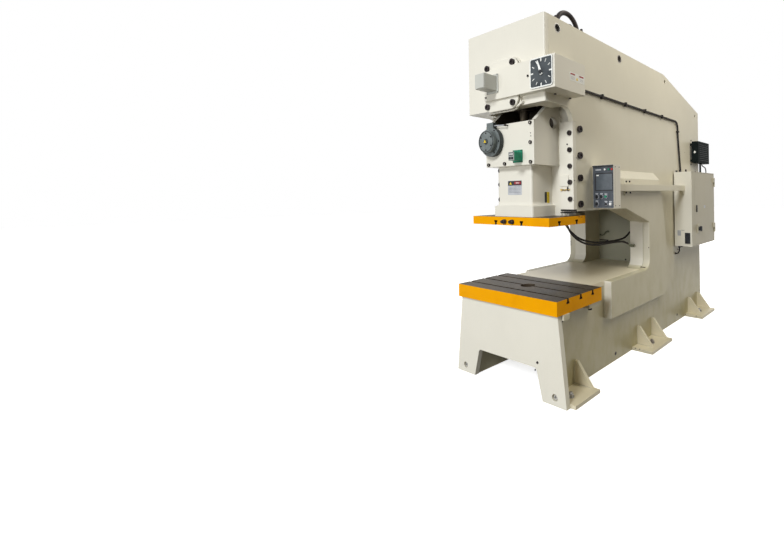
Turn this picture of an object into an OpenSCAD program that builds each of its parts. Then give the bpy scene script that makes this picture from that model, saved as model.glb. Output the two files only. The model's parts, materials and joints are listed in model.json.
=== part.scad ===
/* [Frame] */
// Width over the two side plates
frame_w = 912; // [880:4:940]
// Thickness of the welded frame plates
plate_t = 45; // [40:1:48]
// Height of the flat roof above the floor
roof_z = 3000; // [2960:10:3100]
// Height of the crown's underside above the floor
crown_z = 2314; // [2300:2:2330]
// Length of the flat part of the roof
roof_len = 2122; // [2000:10:2250]
// Length of the frame from the crown's front face to its rear face
frame_len = 3236; // [3200:4:3300]
// Height of the roof's rear edge
rear_top_z = 2705; // [2650:5:2760]
// Radius of the crown's upright front edges
crown_edge_r = 14; // [6:1:20]
// Distance of the upper front edge of the side plates behind the crown's front
arch_y = 340; // [330:2:350]
// Radius in the corner under the crown
arch_r = 105; // [80:5:110]

/* [Throat] */
// Height of the throat's floor
throat_z = 795; // [780:5:810]
// Depth of the throat behind the crown's front
throat_y = 1550; // [1500:10:1600]
// Height of the upper jaw's underside
jaw_z = 1450; // [1444:2:1456]
// Where the upper jaw starts to slope down
jaw_bend_y = 1072; // [1000:8:1120]
// Height at which the slope meets the throat's back
jaw_rear_z = 1290; // [1270:5:1310]
// Radius in the lower corner of the throat
throat_r = 100; // [70:5:130]
// Inner width of the recess behind the throat
recess_w = 602; // [560:2:640]
// Depth of the recess behind the throat
recess_d = 292; // [240:4:340]
// Height of the throat's bent back plate
column_top_z = 1800; // [1700:10:1850]

/* [Throat stiffeners] */
// Thickness of the C shaped stiffener on each side
stiff_t = 80; // [60:2:90]
// Front end of the stiffener's two jaws
stiff_front_y = 781; // [760:3:800]
// Lower edge of the stiffener
stiff_low_z = 453; // [430:5:480]
// Rear edge of the stiffener at its foot
stiff_rear_y = 2025; // [1990:5:2060]
// Rear edge of the stiffener at its top
stiff_top_y = 1815; // [1780:5:1850]
// Height where the bevel on the stiffener's top starts
stiff_bevel_z = 1741; // [1741:2:1765]
// Height of the bevel
stiff_bevel_h = 84; // [40:4:100]
// Radius of the lower rear corner
stiff_r = 170; // [120:10:200]

/* [Front leg and bed] */
// How far the leg plate's front face stands before the crown's front face
leg_front = 18; // [10:1:22]
// Width of the leg plate at the floor
leg_w_low = 1280; // [1240:10:1300]
// Width of the leg plate under the bolster
leg_w_top = 1126; // [1100:2:1150]
// Width of the arch at the floor
arch_w_low = 802; // [760:6:820]
// Width of the arch at its top
arch_w_top = 676; // [640:6:700]
// Height of the arch
arch_h = 243; // [200:5:280]
// Radius of the arch's two corners
arch_corner_r = 28; // [16:2:40]
// Radius of the two round holes in the legs
leg_hole_r = 27; // [20:1:32]
// Height of the round holes
leg_hole_z = 64; // [55:1:80]
// Distance between the two round holes
leg_hole_pitch = 1050; // [1030:5:1070]
// Width over the bed plate's front ears
bed_ear_w = 1176; // [1150:2:1200]

/* [Bolster] */
// Width of the bolster
bolster_w = 1160; // [1100:10:1200]
// Depth of the bolster from front to rear
bolster_d = 597; // [590:1:600]
// Thickness of the bolster
bolster_t = 112; // [105:1:120]
// Height of the bolster's worn top face
bolster_z = 796.5; // [790:0.5:800]
// How far the bolster stands out before the crown's front face
bolster_front = 43; // [40:1:46]
// Distance between the bolster's slots
bolster_slot_pitch = 166; // [150:2:180]
// Radius of the hole in the bolster's middle
drop_hole_r = 65; // [50:5:75]

/* [Clamping slots] */
// Width of a slot's neck
slot_neck_w = 22; // [18:1:24]
// Width of a slot's wide foot
slot_foot_w = 37; // [32:1:40]
// Height of a slot's wide foot
slot_foot_h = 16; // [14:1:18]
// Depth of a slot
slot_depth = 40; // [36:1:44]

/* [Slide] */
// Height of the slide plate's lower face
slide_z = 1341; // [1330:1:1343]
// Thickness of the slide plate
slide_plate_t = 70; // [60:1:72]
// Width of the slide plate
slide_plate_w = 904; // [860:4:920]
// Depth of the slide plate
slide_plate_d = 478; // [460:2:480]
// Distance of the slide plate's middle behind the crown's front
slide_y = 269; // [266:1:272]
// Air between the slide's upper housing and a gib
housing_gap = 28; // [25:1:35]
// Front face of the housing's cover behind the crown's front
housing_front_y = 50; // [48:1:60]
// Lower edge of the housing
housing_z = 1840; // [1820:4:1860]
// Upper edge of the housing's cover
cover_top_z = 2197; // [2180:1:2200]
// Thickness of the housing's cover
cover_t = 20; // [16:1:24]
// Thickness of the housing's walls
housing_wall = 40; // [30:1:42]
// Width of the neck
neck_w = 400; // [380:4:420]
// Front face of the neck behind the crown's front
neck_front_y = 110; // [100:2:120]
// Width of the neck's foot
foot_w = 464; // [450:2:480]
// Front face of the neck's foot behind the crown's front
foot_front_y = 82; // [76:1:90]
// Height of the neck's foot
foot_h = 89; // [80:1:100]
// Radius of the neck's upright edges
neck_edge_r = 18; // [10:1:24]
// Front face of the slide's back slab
slab_y = 368; // [360:1:372]
// Radius of the round hole in the housing's walls
wall_hole_r = 50; // [40:1:55]
// Radius of the bore for a die shank
shank_r = 30; // [25:1:32]

/* [Guides] */
// Width of a gib's front strip
gib_w = 141; // [130:1:146]
// Height of the gib's lower end
gib_low_z = 1466; // [1460:2:1480]
// Height of the gib's upper end
gib_top_z = 2205; // [2190:1:2207]
// Thickness of a gib beside the slide's wing
gib_side_t = 39.7; // [36:0.1:44]
// Running gap between the slide and its gibs
guide_gap = 0.3; // [0.2:0.05:0.5]

/* [Crank and gears] */
// Height of the crankshaft's axis
crank_z = 2500; // [2496:1:2504]
// Stroke of the slide
stroke = 160; // [140:2:160]
// Angle of the crank before the top of its stroke
crank_angle = 20; // [16:1:24]
// Radius of the front and main journals
journal_r = 65; // [60:1:68]
// Radius of the rear journal
rear_journal_r = 75; // [70:1:78]
// Radius of the crank pin
pin_r = 85; // [80:1:88]
// Width of the connecting rod on the crank pin
rod_w = 170; // [150:2:176]
// Distance from the crank pin to the ball
rod_len = 480; // [470:2:490]
// Radius of the ball at the rod's foot
ball_r = 60; // [50:1:62]
// Tooth size of the gears
gear_module = 8; // [8:0.2:8.4]
// Width of the main gear
gear_w = 120; // [100:5:130]
// Air between the flywheel and a side plate
flywheel_gap = 41; // [35:1:60]
// Width of the flywheel
flywheel_w = 150; // [130:5:160]
// Radius of the pinion shaft
shaft_r = 42; // [38:1:44]
// Running clearance of shafts and bores
run_gap = 0.05; // [0.03:0.01:0.08]

/* [Crank bearing and front cover] */
// Width of the crank bearing's square flange
flange_w = 410; // [400:2:420]
// Height of the flange
flange_h = 420; // [410:2:424]
// Corner radius of the flange
flange_r = 90; // [70:2:100]
// Thickness of the flange
flange_t = 40; // [36:1:44]
// Left edge of the front cover from the middle of the press
cover_left = 170; // [150:2:180]
// Right edge of the front cover from the middle of the press
cover_right = 605; // [600:1:620]
// How far the front cover stands out from the crown
cover_out = 60; // [58:1:66]
// Lower edge of the front cover
cover_low_z = 2385; // [2380:1:2388]
// Height of the front cover
cover_h = 247; // [244:1:250]
// Length of the cover's side box along the frame
side_box_len = 320; // [280:5:340]
// Wall of the front cover
sheet_t = 4; // [3:0.5:5]
// Width of the square dial
dial_w = 228; // [220:1:232]

/* [Electrical cabinet] */
// Distance from the cabinet's rear end to the rear face of the frame
cab_rear = 71; // [61:5:81]
// Length of the cabinet
cab_len = 810; // [800:5:820]
// Height of the cabinet's lower face
cab_low_z = 946; // [940:2:960]
// Height of the cabinet
cab_h = 904; // [890:2:910]
// Depth of the cabinet
cab_d = 220; // [210:2:224]
// Gap between the cabinet and the side plate
cab_gap = 16; // [12:1:20]
// Width of the fixed strip before the door
cab_strip = 97; // [90:1:104]

/* [Operator pendant] */
// Width of the pendant's case
pendant_w = 214; // [206:2:220]
// Height of the pendant's case
pendant_h = 374; // [360:2:380]
// Depth of the pendant's case
pendant_d = 115; // [105:1:120]
// Height of the pendant's lower face
pendant_z = 1470; // [1460:2:1480]
// Front face of the pendant behind the crown's front
pendant_y = 603; // [595:1:615]
// Width of the square arm
arm_w = 65; // [60:1:70]
// Height of the arm's underside
arm_z = 1618; // [1614:1:1624]
// Thickness of the arm's clamp plate
clamp_t = 10; // [8:1:12]

/* [Feet] */
// Distance between the front and rear anchor holes
anchor_pitch = 2770; // [2740:5:2790]
// Distance between the left and right anchor holes
anchor_gauge = 1140; // [1120:5:1170]
// Front anchor holes behind the crown's front
front_anchor_y = 120; // [110:2:140]
// Radius of the anchor holes
anchor_r = 16; // [12:1:20]
// Length of a middle or rear foot plate along the frame
foot_len = 470; // [460:5:500]
// Length of a front foot plate along the frame
front_foot_len = 323; // [315:1:330]
// Width over the foot plates
feet_w = 1380; // [1360:5:1400]
// Thickness of a foot plate
foot_t = 30; // [24:1:36]
// Height of a gusset
gusset_h = 216; // [200:4:240]
// Thickness of a gusset
gusset_t = 28; // [20:1:30]

/* [Cable and hoses] */
// Diameter of the clipped cable
cable_d = 22; // [18:1:24]
// Height of the cable's level run
cable_z = 2485; // [2480:1:2490]
// Diameter of the slide's two hoses
hose_d = 20; // [16:1:22]
// Radius of the bent air pipe on the roof
pipe_bend_r = 150; // [140:2:160]
// Diameter of the bent air pipe
pipe_d = 42; // [36:1:46]

/* [Hidden] */
$fn = 48;
cream = "#d9d3bd";
white_cream = "#e4e1d3";
yellow = "#f0a010";
steel = "#8c8880";
black = "#26262a";
grey = "#5c6066";

// The crown's front face lies this far before the middle of the anchor holes
crown_y = -(front_anchor_y + anchor_pitch / 2);
half_w = frame_w / 2;
inner_w = half_w - plate_t;
stiff_x = half_w + stiff_t;
rear_y = frame_len - plate_t;
flywheel_r = inner_w - flywheel_gap;
column_y = throat_y + plate_t;
recess_y = throat_y + recess_d;
jaw_step_z = jaw_rear_z - 15;
floor_low_z = throat_z - plate_t;
bolster_low_z = bolster_z - bolster_t;
bed_low_z = bolster_low_z - plate_t;
bolster_rear_y = bolster_d - bolster_front;
bolster_mid_y = bolster_d / 2 - bolster_front;
lip_y = bolster_rear_y + 6;
leg_back_y = plate_t - leg_front;
roof_low_z = roof_z - plate_t;
roof_fall = (roof_z - rear_top_z) / (frame_len - roof_len);
roof_drop = plate_t * sqrt(1 + roof_fall * roof_fall);
gib_y = arch_y + plate_t;
wing_w = 2 * (inner_w - gib_side_t - guide_gap);
side_bolt_up = [44, 266, 457, 680];
gib_bolt_up = [88, 230, 364, 501, 642];
weld_gap = 0.05;
rear_door_w = 460;
rear_door_z = [900, 1700];
rear_door_lap = 30;
rear_vent_w = 300;
rear_vent_h = 8;
lift_holes = [[158, 38], [1112, 38], [2162, 22]];
lift_hole_down = 79;
rear_hole = [123, 54, 21];

// Slide
plate_top_z = slide_z + slide_plate_t;
slide_front_y = slide_y - slide_plate_d / 2;
wing_y = gib_y + guide_gap;
slide_back_y = 480;
cavity_z = 1880;
wall_top_z = 2640;
back_top_z = 2260;
slope_y = 235;
slope_z = 2357;
housing_x = half_w - gib_w - housing_gap;
casting_y = housing_front_y + cover_t;
slide_slot_x = 153;
slide_slot_y = 114;
shank_len = slide_plate_t;

// Crank, gears and drive
throw = stroke / 2;
pin_x = -throw * sin(crank_angle);
pin_z = crank_z + throw * cos(crank_angle);
web_t = 60;
pin_w = rod_w + 10;
pin_front_y = slide_y - pin_w / 2;
pin_back_y = slide_y + pin_w / 2;
wall_front_y = 520;
wall_rear_y = 900;
wall_t = 60;
gear_teeth = 70;
pinion_teeth = 14;
gear_r = gear_module * gear_teeth / 2;
pinion_r = gear_module * pinion_teeth / 2;
gear_y = 640;
pinion_z = crank_z - gear_r - pinion_r;
flywheel_y = 1180;
pulley_r = 80;
belt_t = 12;
belt_gap = 0.9;
belt_count = 4;
motor_r = 135;
motor_foot = 24;
shelf_t = 24;
shelf_z = pinion_z + flywheel_r + 70;
motor_x = -60;
motor_z = shelf_z + shelf_t + motor_foot + motor_r;
motor_y = 1400;
motor_len = 480;
motor_shaft_r = 21;

// Front cover, dial and flange
cover_top = cover_low_z + cover_h;
dial_x = 474.5;
dial_z = cover_low_z + cover_h / 2 + 6;
dial_t = 4;
dial_shaft_r = 12;
sprocket_r = 45;
sprocket_t = 10;
sprocket_y = 4 + sheet_t - cover_out;
flange_bolt = [150, 162];
flange_bore_r = 130;

// Cabinet and pendant
cab_x = half_w + cab_gap;
cab_y = frame_len - cab_rear - cab_len;
gear_edge = 60;
socket_in = 165;
resistor_gap = 30;
resistor_d = 88;
resistor_len = 420;
resistor_h = 287;
resistor_up = 143;
resistor_out = 99;
cab_out_x = cab_x + cab_d;
cab_top_z = cab_low_z + cab_h;
door_y0 = cab_y + cab_strip;
door_y1 = cab_y + cab_len - 13;
door_gap = 2;
door_rim = 10;
hinge_x = cab_out_x + 8;
hinge_y = door_y1 + 4;
knuckle_r = 8;
knuckle_h = 60;
hinge_pin_r = 4;
handle_y = door_y0 + 108;
handle_z = cab_low_z + 204;
handle_base_t = 12;
arm_x = stiff_x + clamp_t;
pendant_x = arm_x + arm_w / 2 - pendant_w / 2;
case_wall = 4;
knob_x = [41, 88, 135, 181];
knob_z = [36, 100];
button_r = 11;
knob_r = 15;
knob_stem_r = 5;

// The cable's route along the right side plate, from the side box to the cabinet
cable_x = half_w + cable_d / 2 + 3;
cable_bend_y = 2410;
cable_bend_r = 80;
cable_end_y = 2560;
cable_clips = [772, 1196, 1613, 2034];

// The hoses' routes, from the slide plate's rear face at its lower edge to the throat's back
hose_stub = 12;
hose_a_route = [[80, 12, 31], [80, 34, 31], [81, 80, 26], [83, 124, 10], [86, 163, -17], [90, 200, -56],
    [98, 258, -117], [112, 349, -177], [128, 455, -217], [146, 577, -242], [165, 705, -253], [190, 877, -253],
    [208, 1008, -247], [218, 1066, -234], [226, 1112, -210], [233, 1158, -180], [238, 1215, -152],
    [240, 1275, -134], [240, 1304, -131], [240, 1322, -131]];
hose_b_route = [[115, 12, 31], [115, 34, 31], [117, 72, 25], [120, 107, 8], [124, 138, -20], [129, 165, -58],
    [136, 205, -120], [152, 295, -192], [172, 393, -235], [195, 506, -257], [218, 624, -260], [250, 780, -257],
    [276, 893, -258], [294, 938, -268], [312, 967, -285], [328, 986, -300], [340, 999, -310], [346, 1012, -314],
    [346, 1030, -314]];

function arc(cx, cy, r, a0, a1, n = 12) =
    [for (i = [0:n]) [cx + r * cos(a0 + (a1 - a0) * i / n), cy + r * sin(a0 + (a1 - a0) * i / n)]];

function roof_under(y) = y < roof_len ? roof_low_z : rear_top_z + (frame_len - y) * roof_fall - roof_drop;

foot_front = 225;
gusset_back = 108;
gusset_in = 60;
gusset_top = 28;

// Everything below is drawn from the crown's front face and moved to the part's origin here
module at_press() {
    translate([0, crown_y, 0]) children();
}

module block(x, y, z) {
    translate([x[0], y[0], z[0]]) cube([x[1] - x[0], y[1] - y[0], z[1] - z[0]]);
}

module along_x(x0, w) {
    translate([x0, 0, 0]) rotate([90, 0, 90]) linear_extrude(w) children();
}

module along_y(y0, t) {
    translate([0, y0 + t, 0]) rotate([90, 0, 0]) linear_extrude(t) children();
}

module rod_y(r, y0, y1, x, z) {
    translate([x, y1, z]) rotate([90, 0, 0]) cylinder(h = y1 - y0, r = r);
}

module rod_x(r, x0, x1, y, z) {
    translate([x0, y, z]) rotate([0, 90, 0]) cylinder(h = x1 - x0, r = r);
}

module both_sides() {
    children();
    mirror([1, 0, 0]) children();
}

module round_rect(w, h, r) {
    square([w - 2 * r, h], center = true);
    square([w, h - 2 * r], center = true);
    for (x = [-1, 1], y = [-1, 1]) translate([x * (w / 2 - r), y * (h / 2 - r)]) circle(r);
}

// A round head with a hexagon socket, pointing along -Y from the face at y
module head_y(x, y, z, r, h) {
    difference() {
        rod_y(r, y - h, y, x, z);
        translate([x, y - h / 2, z]) rotate([90, 0, 0]) cylinder(h = h, r = r * 0.5, $fn = 6);
    }
}

module head_x(x, y, z, r, h) {
    difference() {
        rod_x(r, x, x + h, y, z);
        translate([x + h / 2, y, z]) rotate([0, 90, 0]) cylinder(h = h, r = r * 0.5, $fn = 6);
    }
}

// A round tube swept along a list of points, with one ring at each point
module sweep(pts, d, sides = 10) {
    n = len(pts);
    rings = [for (i = [0:n - 1])
        let (a = pts[max(i - 1, 0)], b = pts[min(i + 1, n - 1)], t = (b - a) / norm(b - a),
             u0 = cross(t, [1, 0.2, 0]), u = u0 / norm(u0), v = cross(t, u))
        for (k = [0:sides - 1])
            pts[i] + d / 2 * (u * cos(360 * k / sides) + v * sin(360 * k / sides))];
    walls = [for (i = [0:n - 2], k = [0:sides - 1])
        let (k1 = (k + 1) % sides)
        each [[i * sides + k, (i + 1) * sides + k, i * sides + k1],
              [i * sides + k1, (i + 1) * sides + k, (i + 1) * sides + k1]]];
    first_cap = [[for (k = [0:sides - 1]) k]];
    last_cap = [[for (k = [sides - 1:-1:0]) (n - 1) * sides + k]];
    polyhedron(points = rings, faces = concat(walls, first_cap, last_cap));
}

// Frame plates
module side_plate() {
    outline = concat(
        [[plate_t, crown_z], [plate_t, roof_z], [roof_len, roof_z], [frame_len, rear_top_z], [frame_len, 0],
         [leg_back_y, 0], [leg_back_y, bed_low_z], [lip_y + plate_t, bed_low_z],
         [lip_y + plate_t, floor_low_z], [column_y, floor_low_z], [column_y, jaw_step_z],
         [throat_y, jaw_step_z], [throat_y, jaw_rear_z], [jaw_bend_y, jaw_z], [gib_y, jaw_z],
         [gib_y, gib_top_z], [arch_y, gib_top_z], [arch_y, crown_z - arch_r]],
        arc(arch_y - arch_r, crown_z - arch_r, arch_r, 0, 90));
    color(cream) difference() {
        along_x(inner_w, plate_t) polygon(outline);
        for (h = lift_holes) rod_x(h[1], inner_w - 1, half_w + 1, h[0], roof_z - lift_hole_down);
        rod_x(rear_hole[2], inner_w - 1, half_w + 1, frame_len - rear_hole[0], rear_top_z - rear_hole[1]);
    }
}

module stiffener() {
    top_z = stiff_bevel_z + stiff_bevel_h;
    outline = concat(
        [[stiff_front_y, stiff_low_z]],
        arc(stiff_rear_y - stiff_r, stiff_low_z + stiff_r, stiff_r, -90, 0),
        [[stiff_rear_y, throat_z - 50], [stiff_rear_y - 85, jaw_rear_z - 29], [stiff_top_y, stiff_bevel_z],
         [stiff_top_y, top_z], [stiff_front_y, top_z], [stiff_front_y, jaw_z], [jaw_bend_y, jaw_z],
         [throat_y, jaw_rear_z]],
        arc(throat_y - throat_r, throat_z + throat_r, throat_r, 0, -90),
        [[stiff_front_y, throat_z]]);
    color(cream) difference() {
        along_x(half_w, stiff_t) polygon(outline);
        along_y(stiff_front_y - 1, stiff_rear_y - stiff_front_y)
            polygon([[half_w, top_z], [stiff_x, stiff_bevel_z], [stiff_x + 1, stiff_bevel_z], [stiff_x + 1, top_z + 1],
                [half_w, top_z + 1]]);
    }
}

module crown_front_plate() {
    color(white_cream) at_press() difference() {
        translate([0, 0, crown_z]) linear_extrude(roof_z - crown_z) {
            translate([-half_w, crown_edge_r]) square([frame_w, plate_t - crown_edge_r]);
            translate([-half_w + crown_edge_r, 0]) square([frame_w - 2 * crown_edge_r, plate_t]);
            for (x = [-1, 1]) translate([x * (half_w - crown_edge_r), crown_edge_r]) circle(crown_edge_r);
        }
        rod_y(flange_bore_r + run_gap, -1, plate_t + 1, 0, crank_z);
    }
}

// The slide rises through the open side of this plate
module crown_bottom_plate() {
    gap_x = housing_x + 24;
    gap_y = pin_front_y - web_t - 12;
    arch_end = arch_y - arch_r;
    color(cream) at_press() translate([0, 0, crown_z]) linear_extrude(plate_t - 9)
        polygon([[-inner_w, plate_t], [inner_w, plate_t], [inner_w, arch_end], [gap_x, arch_end], [gap_x, gap_y],
            [-gap_x, gap_y], [-gap_x, arch_end], [-inner_w, arch_end]]);
}

module roof_plate() {
    color(cream) at_press() along_x(-inner_w, 2 * inner_w)
        polygon([[plate_t, roof_low_z], [plate_t, roof_z], [roof_len, roof_z], [frame_len, rear_top_z],
            [frame_len, roof_under(frame_len)], [roof_len, roof_under(roof_len)], [roof_len - 5, roof_low_z]]);
}

module rear_plate() {
    color(cream) at_press() difference() {
        along_x(-inner_w, 2 * inner_w)
            polygon([[rear_y, 0], [frame_len, 0], [frame_len, roof_under(frame_len) - weld_gap],
                [rear_y, roof_under(rear_y) - weld_gap]]);
        block([-rear_door_w / 2, rear_door_w / 2], [rear_y - 1, frame_len + 1], rear_door_z);
    }
}

module rear_cover() {
    half = rear_door_w / 2 + rear_door_lap;
    top = rear_door_z[1];
    color(cream) at_press() difference() {
        block([-half, half], [frame_len, frame_len + sheet_t], [rear_door_z[0] - rear_door_lap, top + rear_door_lap]);
        for (down = [50:30:200])
            block([-rear_vent_w / 2, rear_vent_w / 2], [frame_len - 1, frame_len + sheet_t + 1],
                [top - down, top - down + rear_vent_h]);
    }
}

module bearing_wall(y0, crank_r) {
    color(cream) at_press() difference() {
        block([-inner_w, inner_w], [y0, y0 + wall_t], [jaw_z + plate_t, roof_low_z]);
        rod_y(crank_r + run_gap, y0 - 1, y0 + wall_t + 1, 0, crank_z);
        rod_y(shaft_r + run_gap, y0 - 1, y0 + wall_t + 1, 0, pinion_z);
    }
}

module jaw_plate() {
    in_x = recess_w / 2;
    color(cream) at_press() difference() {
        along_x(-inner_w, 2 * inner_w)
            polygon([[wall_front_y, jaw_z], [jaw_bend_y, jaw_z], [throat_y, jaw_rear_z],
                [throat_y, jaw_rear_z + plate_t], [jaw_bend_y, jaw_z + plate_t], [wall_front_y, jaw_z + plate_t]]);
        block([-in_x, in_x], [jaw_bend_y, throat_y + 1], [jaw_rear_z - 1, jaw_z + plate_t + 1]);
    }
}

// One bent plate: two front strips, two inner walls and the back of the recess
module hat(strip_x) {
    in_x = recess_w / 2;
    out_x = in_x + plate_t;
    back_y = recess_y + plate_t;
    polygon([[-strip_x, throat_y], [-in_x, throat_y], [-in_x, recess_y], [in_x, recess_y], [in_x, throat_y],
        [strip_x, throat_y], [strip_x, column_y], [out_x, column_y], [out_x, back_y], [-out_x, back_y],
        [-out_x, column_y], [-strip_x, column_y]]);
}

module throat_column() {
    in_x = recess_w / 2;
    corner = concat([[throat_y, throat_z]], arc(throat_y - throat_r, throat_z + throat_r, throat_r, -90, 0));
    color(cream) at_press() {
        translate([0, 0, throat_z]) linear_extrude(jaw_step_z - throat_z) hat(half_w);
        translate([0, 0, jaw_step_z]) linear_extrude(column_top_z - jaw_step_z) hat(inner_w);
        both_sides() along_x(in_x, half_w - in_x) polygon(corner);
        collar(recess_y - hose_stub, recess_y + 1, hose_a_route[len(hose_a_route) - 1]);
        collar(throat_y - hose_stub, throat_y + 1, hose_b_route[len(hose_b_route) - 1]);
    }
}

module throat_floor() {
    color(cream) at_press() {
        along_x(-half_w, frame_w)
            polygon([[lip_y, bed_low_z], [lip_y + plate_t, bed_low_z], [lip_y + plate_t, floor_low_z],
                [column_y, floor_low_z], [column_y, throat_z], [lip_y, throat_z]]);
        block([-inner_w, inner_w], [column_y, recess_y + plate_t], [floor_low_z, throat_z]);
    }
}

module bed_plate() {
    ear_x = bed_ear_w / 2;
    rear_x = ear_x - 28;
    half = [[0, leg_back_y], [ear_x, leg_back_y], [ear_x, leg_back_y + 73], [half_w, leg_back_y + 73],
        [half_w, lip_y - 160], [rear_x, lip_y - 160], [rear_x, lip_y - 6], [half_w, lip_y - 6], [half_w, lip_y],
        [0, lip_y]];
    color(cream) at_press() difference() {
        translate([0, 0, bed_low_z]) linear_extrude(plate_t) both_sides() polygon(half);
        translate([0, bolster_mid_y, bed_low_z - 1]) cylinder(h = plate_t + 2, r = drop_hole_r + 20);
    }
}

module front_leg_plate() {
    low = leg_w_low / 2;
    top = leg_w_top / 2;
    in_low = arch_w_low / 2;
    in_top = arch_w_top / 2;
    lean = atan((in_low - in_top) / arch_h);
    r = arch_corner_r;
    // The corner arcs touch the arch's sloping sides and its level top
    cx = in_top - r * (1 - sin(lean)) / cos(lean);
    half = concat([[0, bolster_low_z], [top, bolster_low_z], [low, 0], [in_low, 0]],
        arc(cx, arch_h - r, r, lean, 90, 8), [[0, arch_h]]);
    color(white_cream) at_press() difference() {
        along_y(-leg_front, plate_t) both_sides() polygon(half);
        for (x = [-1, 1]) rod_y(leg_hole_r, -leg_front - 1, leg_back_y + 1, x * leg_hole_pitch / 2, leg_hole_z);
    }
}

// A foot plate with upright triangular gussets at the places in gussets
module foot(y0, y1, hole_y, gussets) {
    out_x = feet_w / 2;
    difference() {
        block([half_w, out_x], [y0, y1], [0, foot_t]);
        translate([anchor_gauge / 2, hole_y, -1]) cylinder(h = foot_t + 2, r = anchor_r);
    }
    for (y = gussets) along_y(y, gusset_t)
        polygon([[half_w, foot_t], [out_x - gusset_in, foot_t], [half_w + gusset_top, gusset_h], [half_w, gusset_h]]);
}

module long_foot(mid_y) {
    end_y = mid_y - foot_front + foot_len;
    foot(mid_y - foot_front, end_y, mid_y, [mid_y - gusset_back, end_y - gusset_t]);
}

module front_feet() {
    end_y = leg_back_y + front_foot_len;
    color(cream) at_press() both_sides() foot(leg_back_y, end_y, front_anchor_y, [end_y - gusset_t]);
}

module middle_feet() {
    color(cream) at_press() both_sides() long_foot(front_anchor_y + anchor_pitch / 2);
}

module rear_feet() {
    color(cream) at_press() both_sides() long_foot(front_anchor_y + anchor_pitch);
}

// A clamping slot along X, open upwards at z
module slot_x(len, y, z) {
    block([-len, len], [y - slot_neck_w / 2, y + slot_neck_w / 2], [z - slot_depth, z + 1]);
    block([-len, len], [y - slot_foot_w / 2, y + slot_foot_w / 2], [z - slot_depth, z - slot_depth + slot_foot_h]);
}

module bolster() {
    half = bolster_w / 2;
    color(yellow) at_press() difference() {
        block([-half, half], [-bolster_front, bolster_rear_y], [bolster_low_z, bolster_z]);
        for (i = [-1, 0, 1]) slot_x(half + 1, bolster_mid_y + i * bolster_slot_pitch, bolster_z);
        translate([0, bolster_mid_y, bolster_low_z - 1]) cylinder(h = bolster_t + 2, r = drop_hole_r);
    }
}

// Guides
module gib() {
    in_x = half_w - gib_w;
    side_x = wing_w / 2 + guide_gap;
    back_x = in_x + 15;
    color(white_cream) translate([0, 0, gib_low_z]) linear_extrude(gib_top_z - gib_low_z)
        polygon([[in_x, arch_y], [half_w, arch_y], [half_w, gib_y], [inner_w, gib_y], [inner_w, wall_front_y],
            [back_x, wall_front_y], [back_x, slide_back_y], [side_x, slide_back_y], [side_x, gib_y], [in_x, gib_y]]);
}

module frame_bolts() {
    ear_x = bed_ear_w / 2 - 58;
    color(black) at_press() both_sides() {
        for (up = side_bolt_up) head_x(half_w, gib_y + 45, gib_low_z + up, 29, 18);
        for (up = gib_bolt_up) head_y(half_w - 32, arch_y, gib_low_z + up, 21, 14);
        for (z = [-1, 1]) head_y(flange_bolt[0], -flange_t, crank_z + z * flange_bolt[1], 25, 16);
        for (y = [leg_back_y + 36, lip_y - 110]) translate([ear_x, y, bed_low_z - 22]) cylinder(h = 22, r = 17);
    }
}

module crank_flange() {
    color(white_cream) at_press() difference() {
        union() {
            translate([0, 0, crank_z]) along_y(-flange_t, flange_t) round_rect(flange_w, flange_h, flange_r);
            rod_y(flange_bore_r, -1, pin_front_y - web_t - 10, 0, crank_z);
        }
        rod_y(journal_r + run_gap, -flange_t - 1, pin_front_y, 0, crank_z);
    }
}

// Front cover, its dial and its terminal box
module front_cover() {
    low = cover_low_z + sheet_t;
    top = cover_top - sheet_t;
    in_x = cover_right - sheet_t;
    color(white_cream) at_press() difference() {
        union() {
            block([-cover_left, cover_right], [-cover_out, 0], [cover_low_z, cover_top]);
            block([half_w, cover_right], [-1, side_box_len], [cover_low_z, cover_top]);
        }
        block([sheet_t - cover_left, in_x], [sheet_t - cover_out, 1], [low, top]);
        block([half_w - 1, in_x], [-1, side_box_len - sheet_t], [low, top]);
        block([-flange_w / 2 - 1, flange_w / 2 + 1], [-flange_t, 1], [cover_low_z - 1, cover_top + 1]);
        rod_y(dial_shaft_r + run_gap, -cover_out - 1, 0, dial_x, dial_z);
    }
}

module dial_face() {
    color(black) at_press() difference() {
        translate([dial_x, 0, dial_z]) along_y(-cover_out - dial_t, dial_t) round_rect(dial_w, dial_w, 22);
        rod_y(dial_shaft_r + run_gap, -cover_out - dial_t - 1, 0, dial_x, dial_z);
    }
}

module terminal_box() {
    base_t = 6;
    color(white_cream) at_press() {
        block([-135, 4], [-cover_out - base_t, -cover_out], [cover_low_z + 52, cover_low_z + 208]);
        block([-122, -12], [-cover_out - 137, -cover_out - base_t], [cover_low_z + 68, cover_low_z + 188]);
    }
}

// Electrical cabinet
module hinge_barrel(z0) {
    difference() {
        translate([hinge_x, hinge_y, z0]) cylinder(h = knuckle_h, r = knuckle_r);
        translate([hinge_x, hinge_y, z0 - 1]) cylinder(h = knuckle_h + 2, r = hinge_pin_r + run_gap);
    }
}

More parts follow.
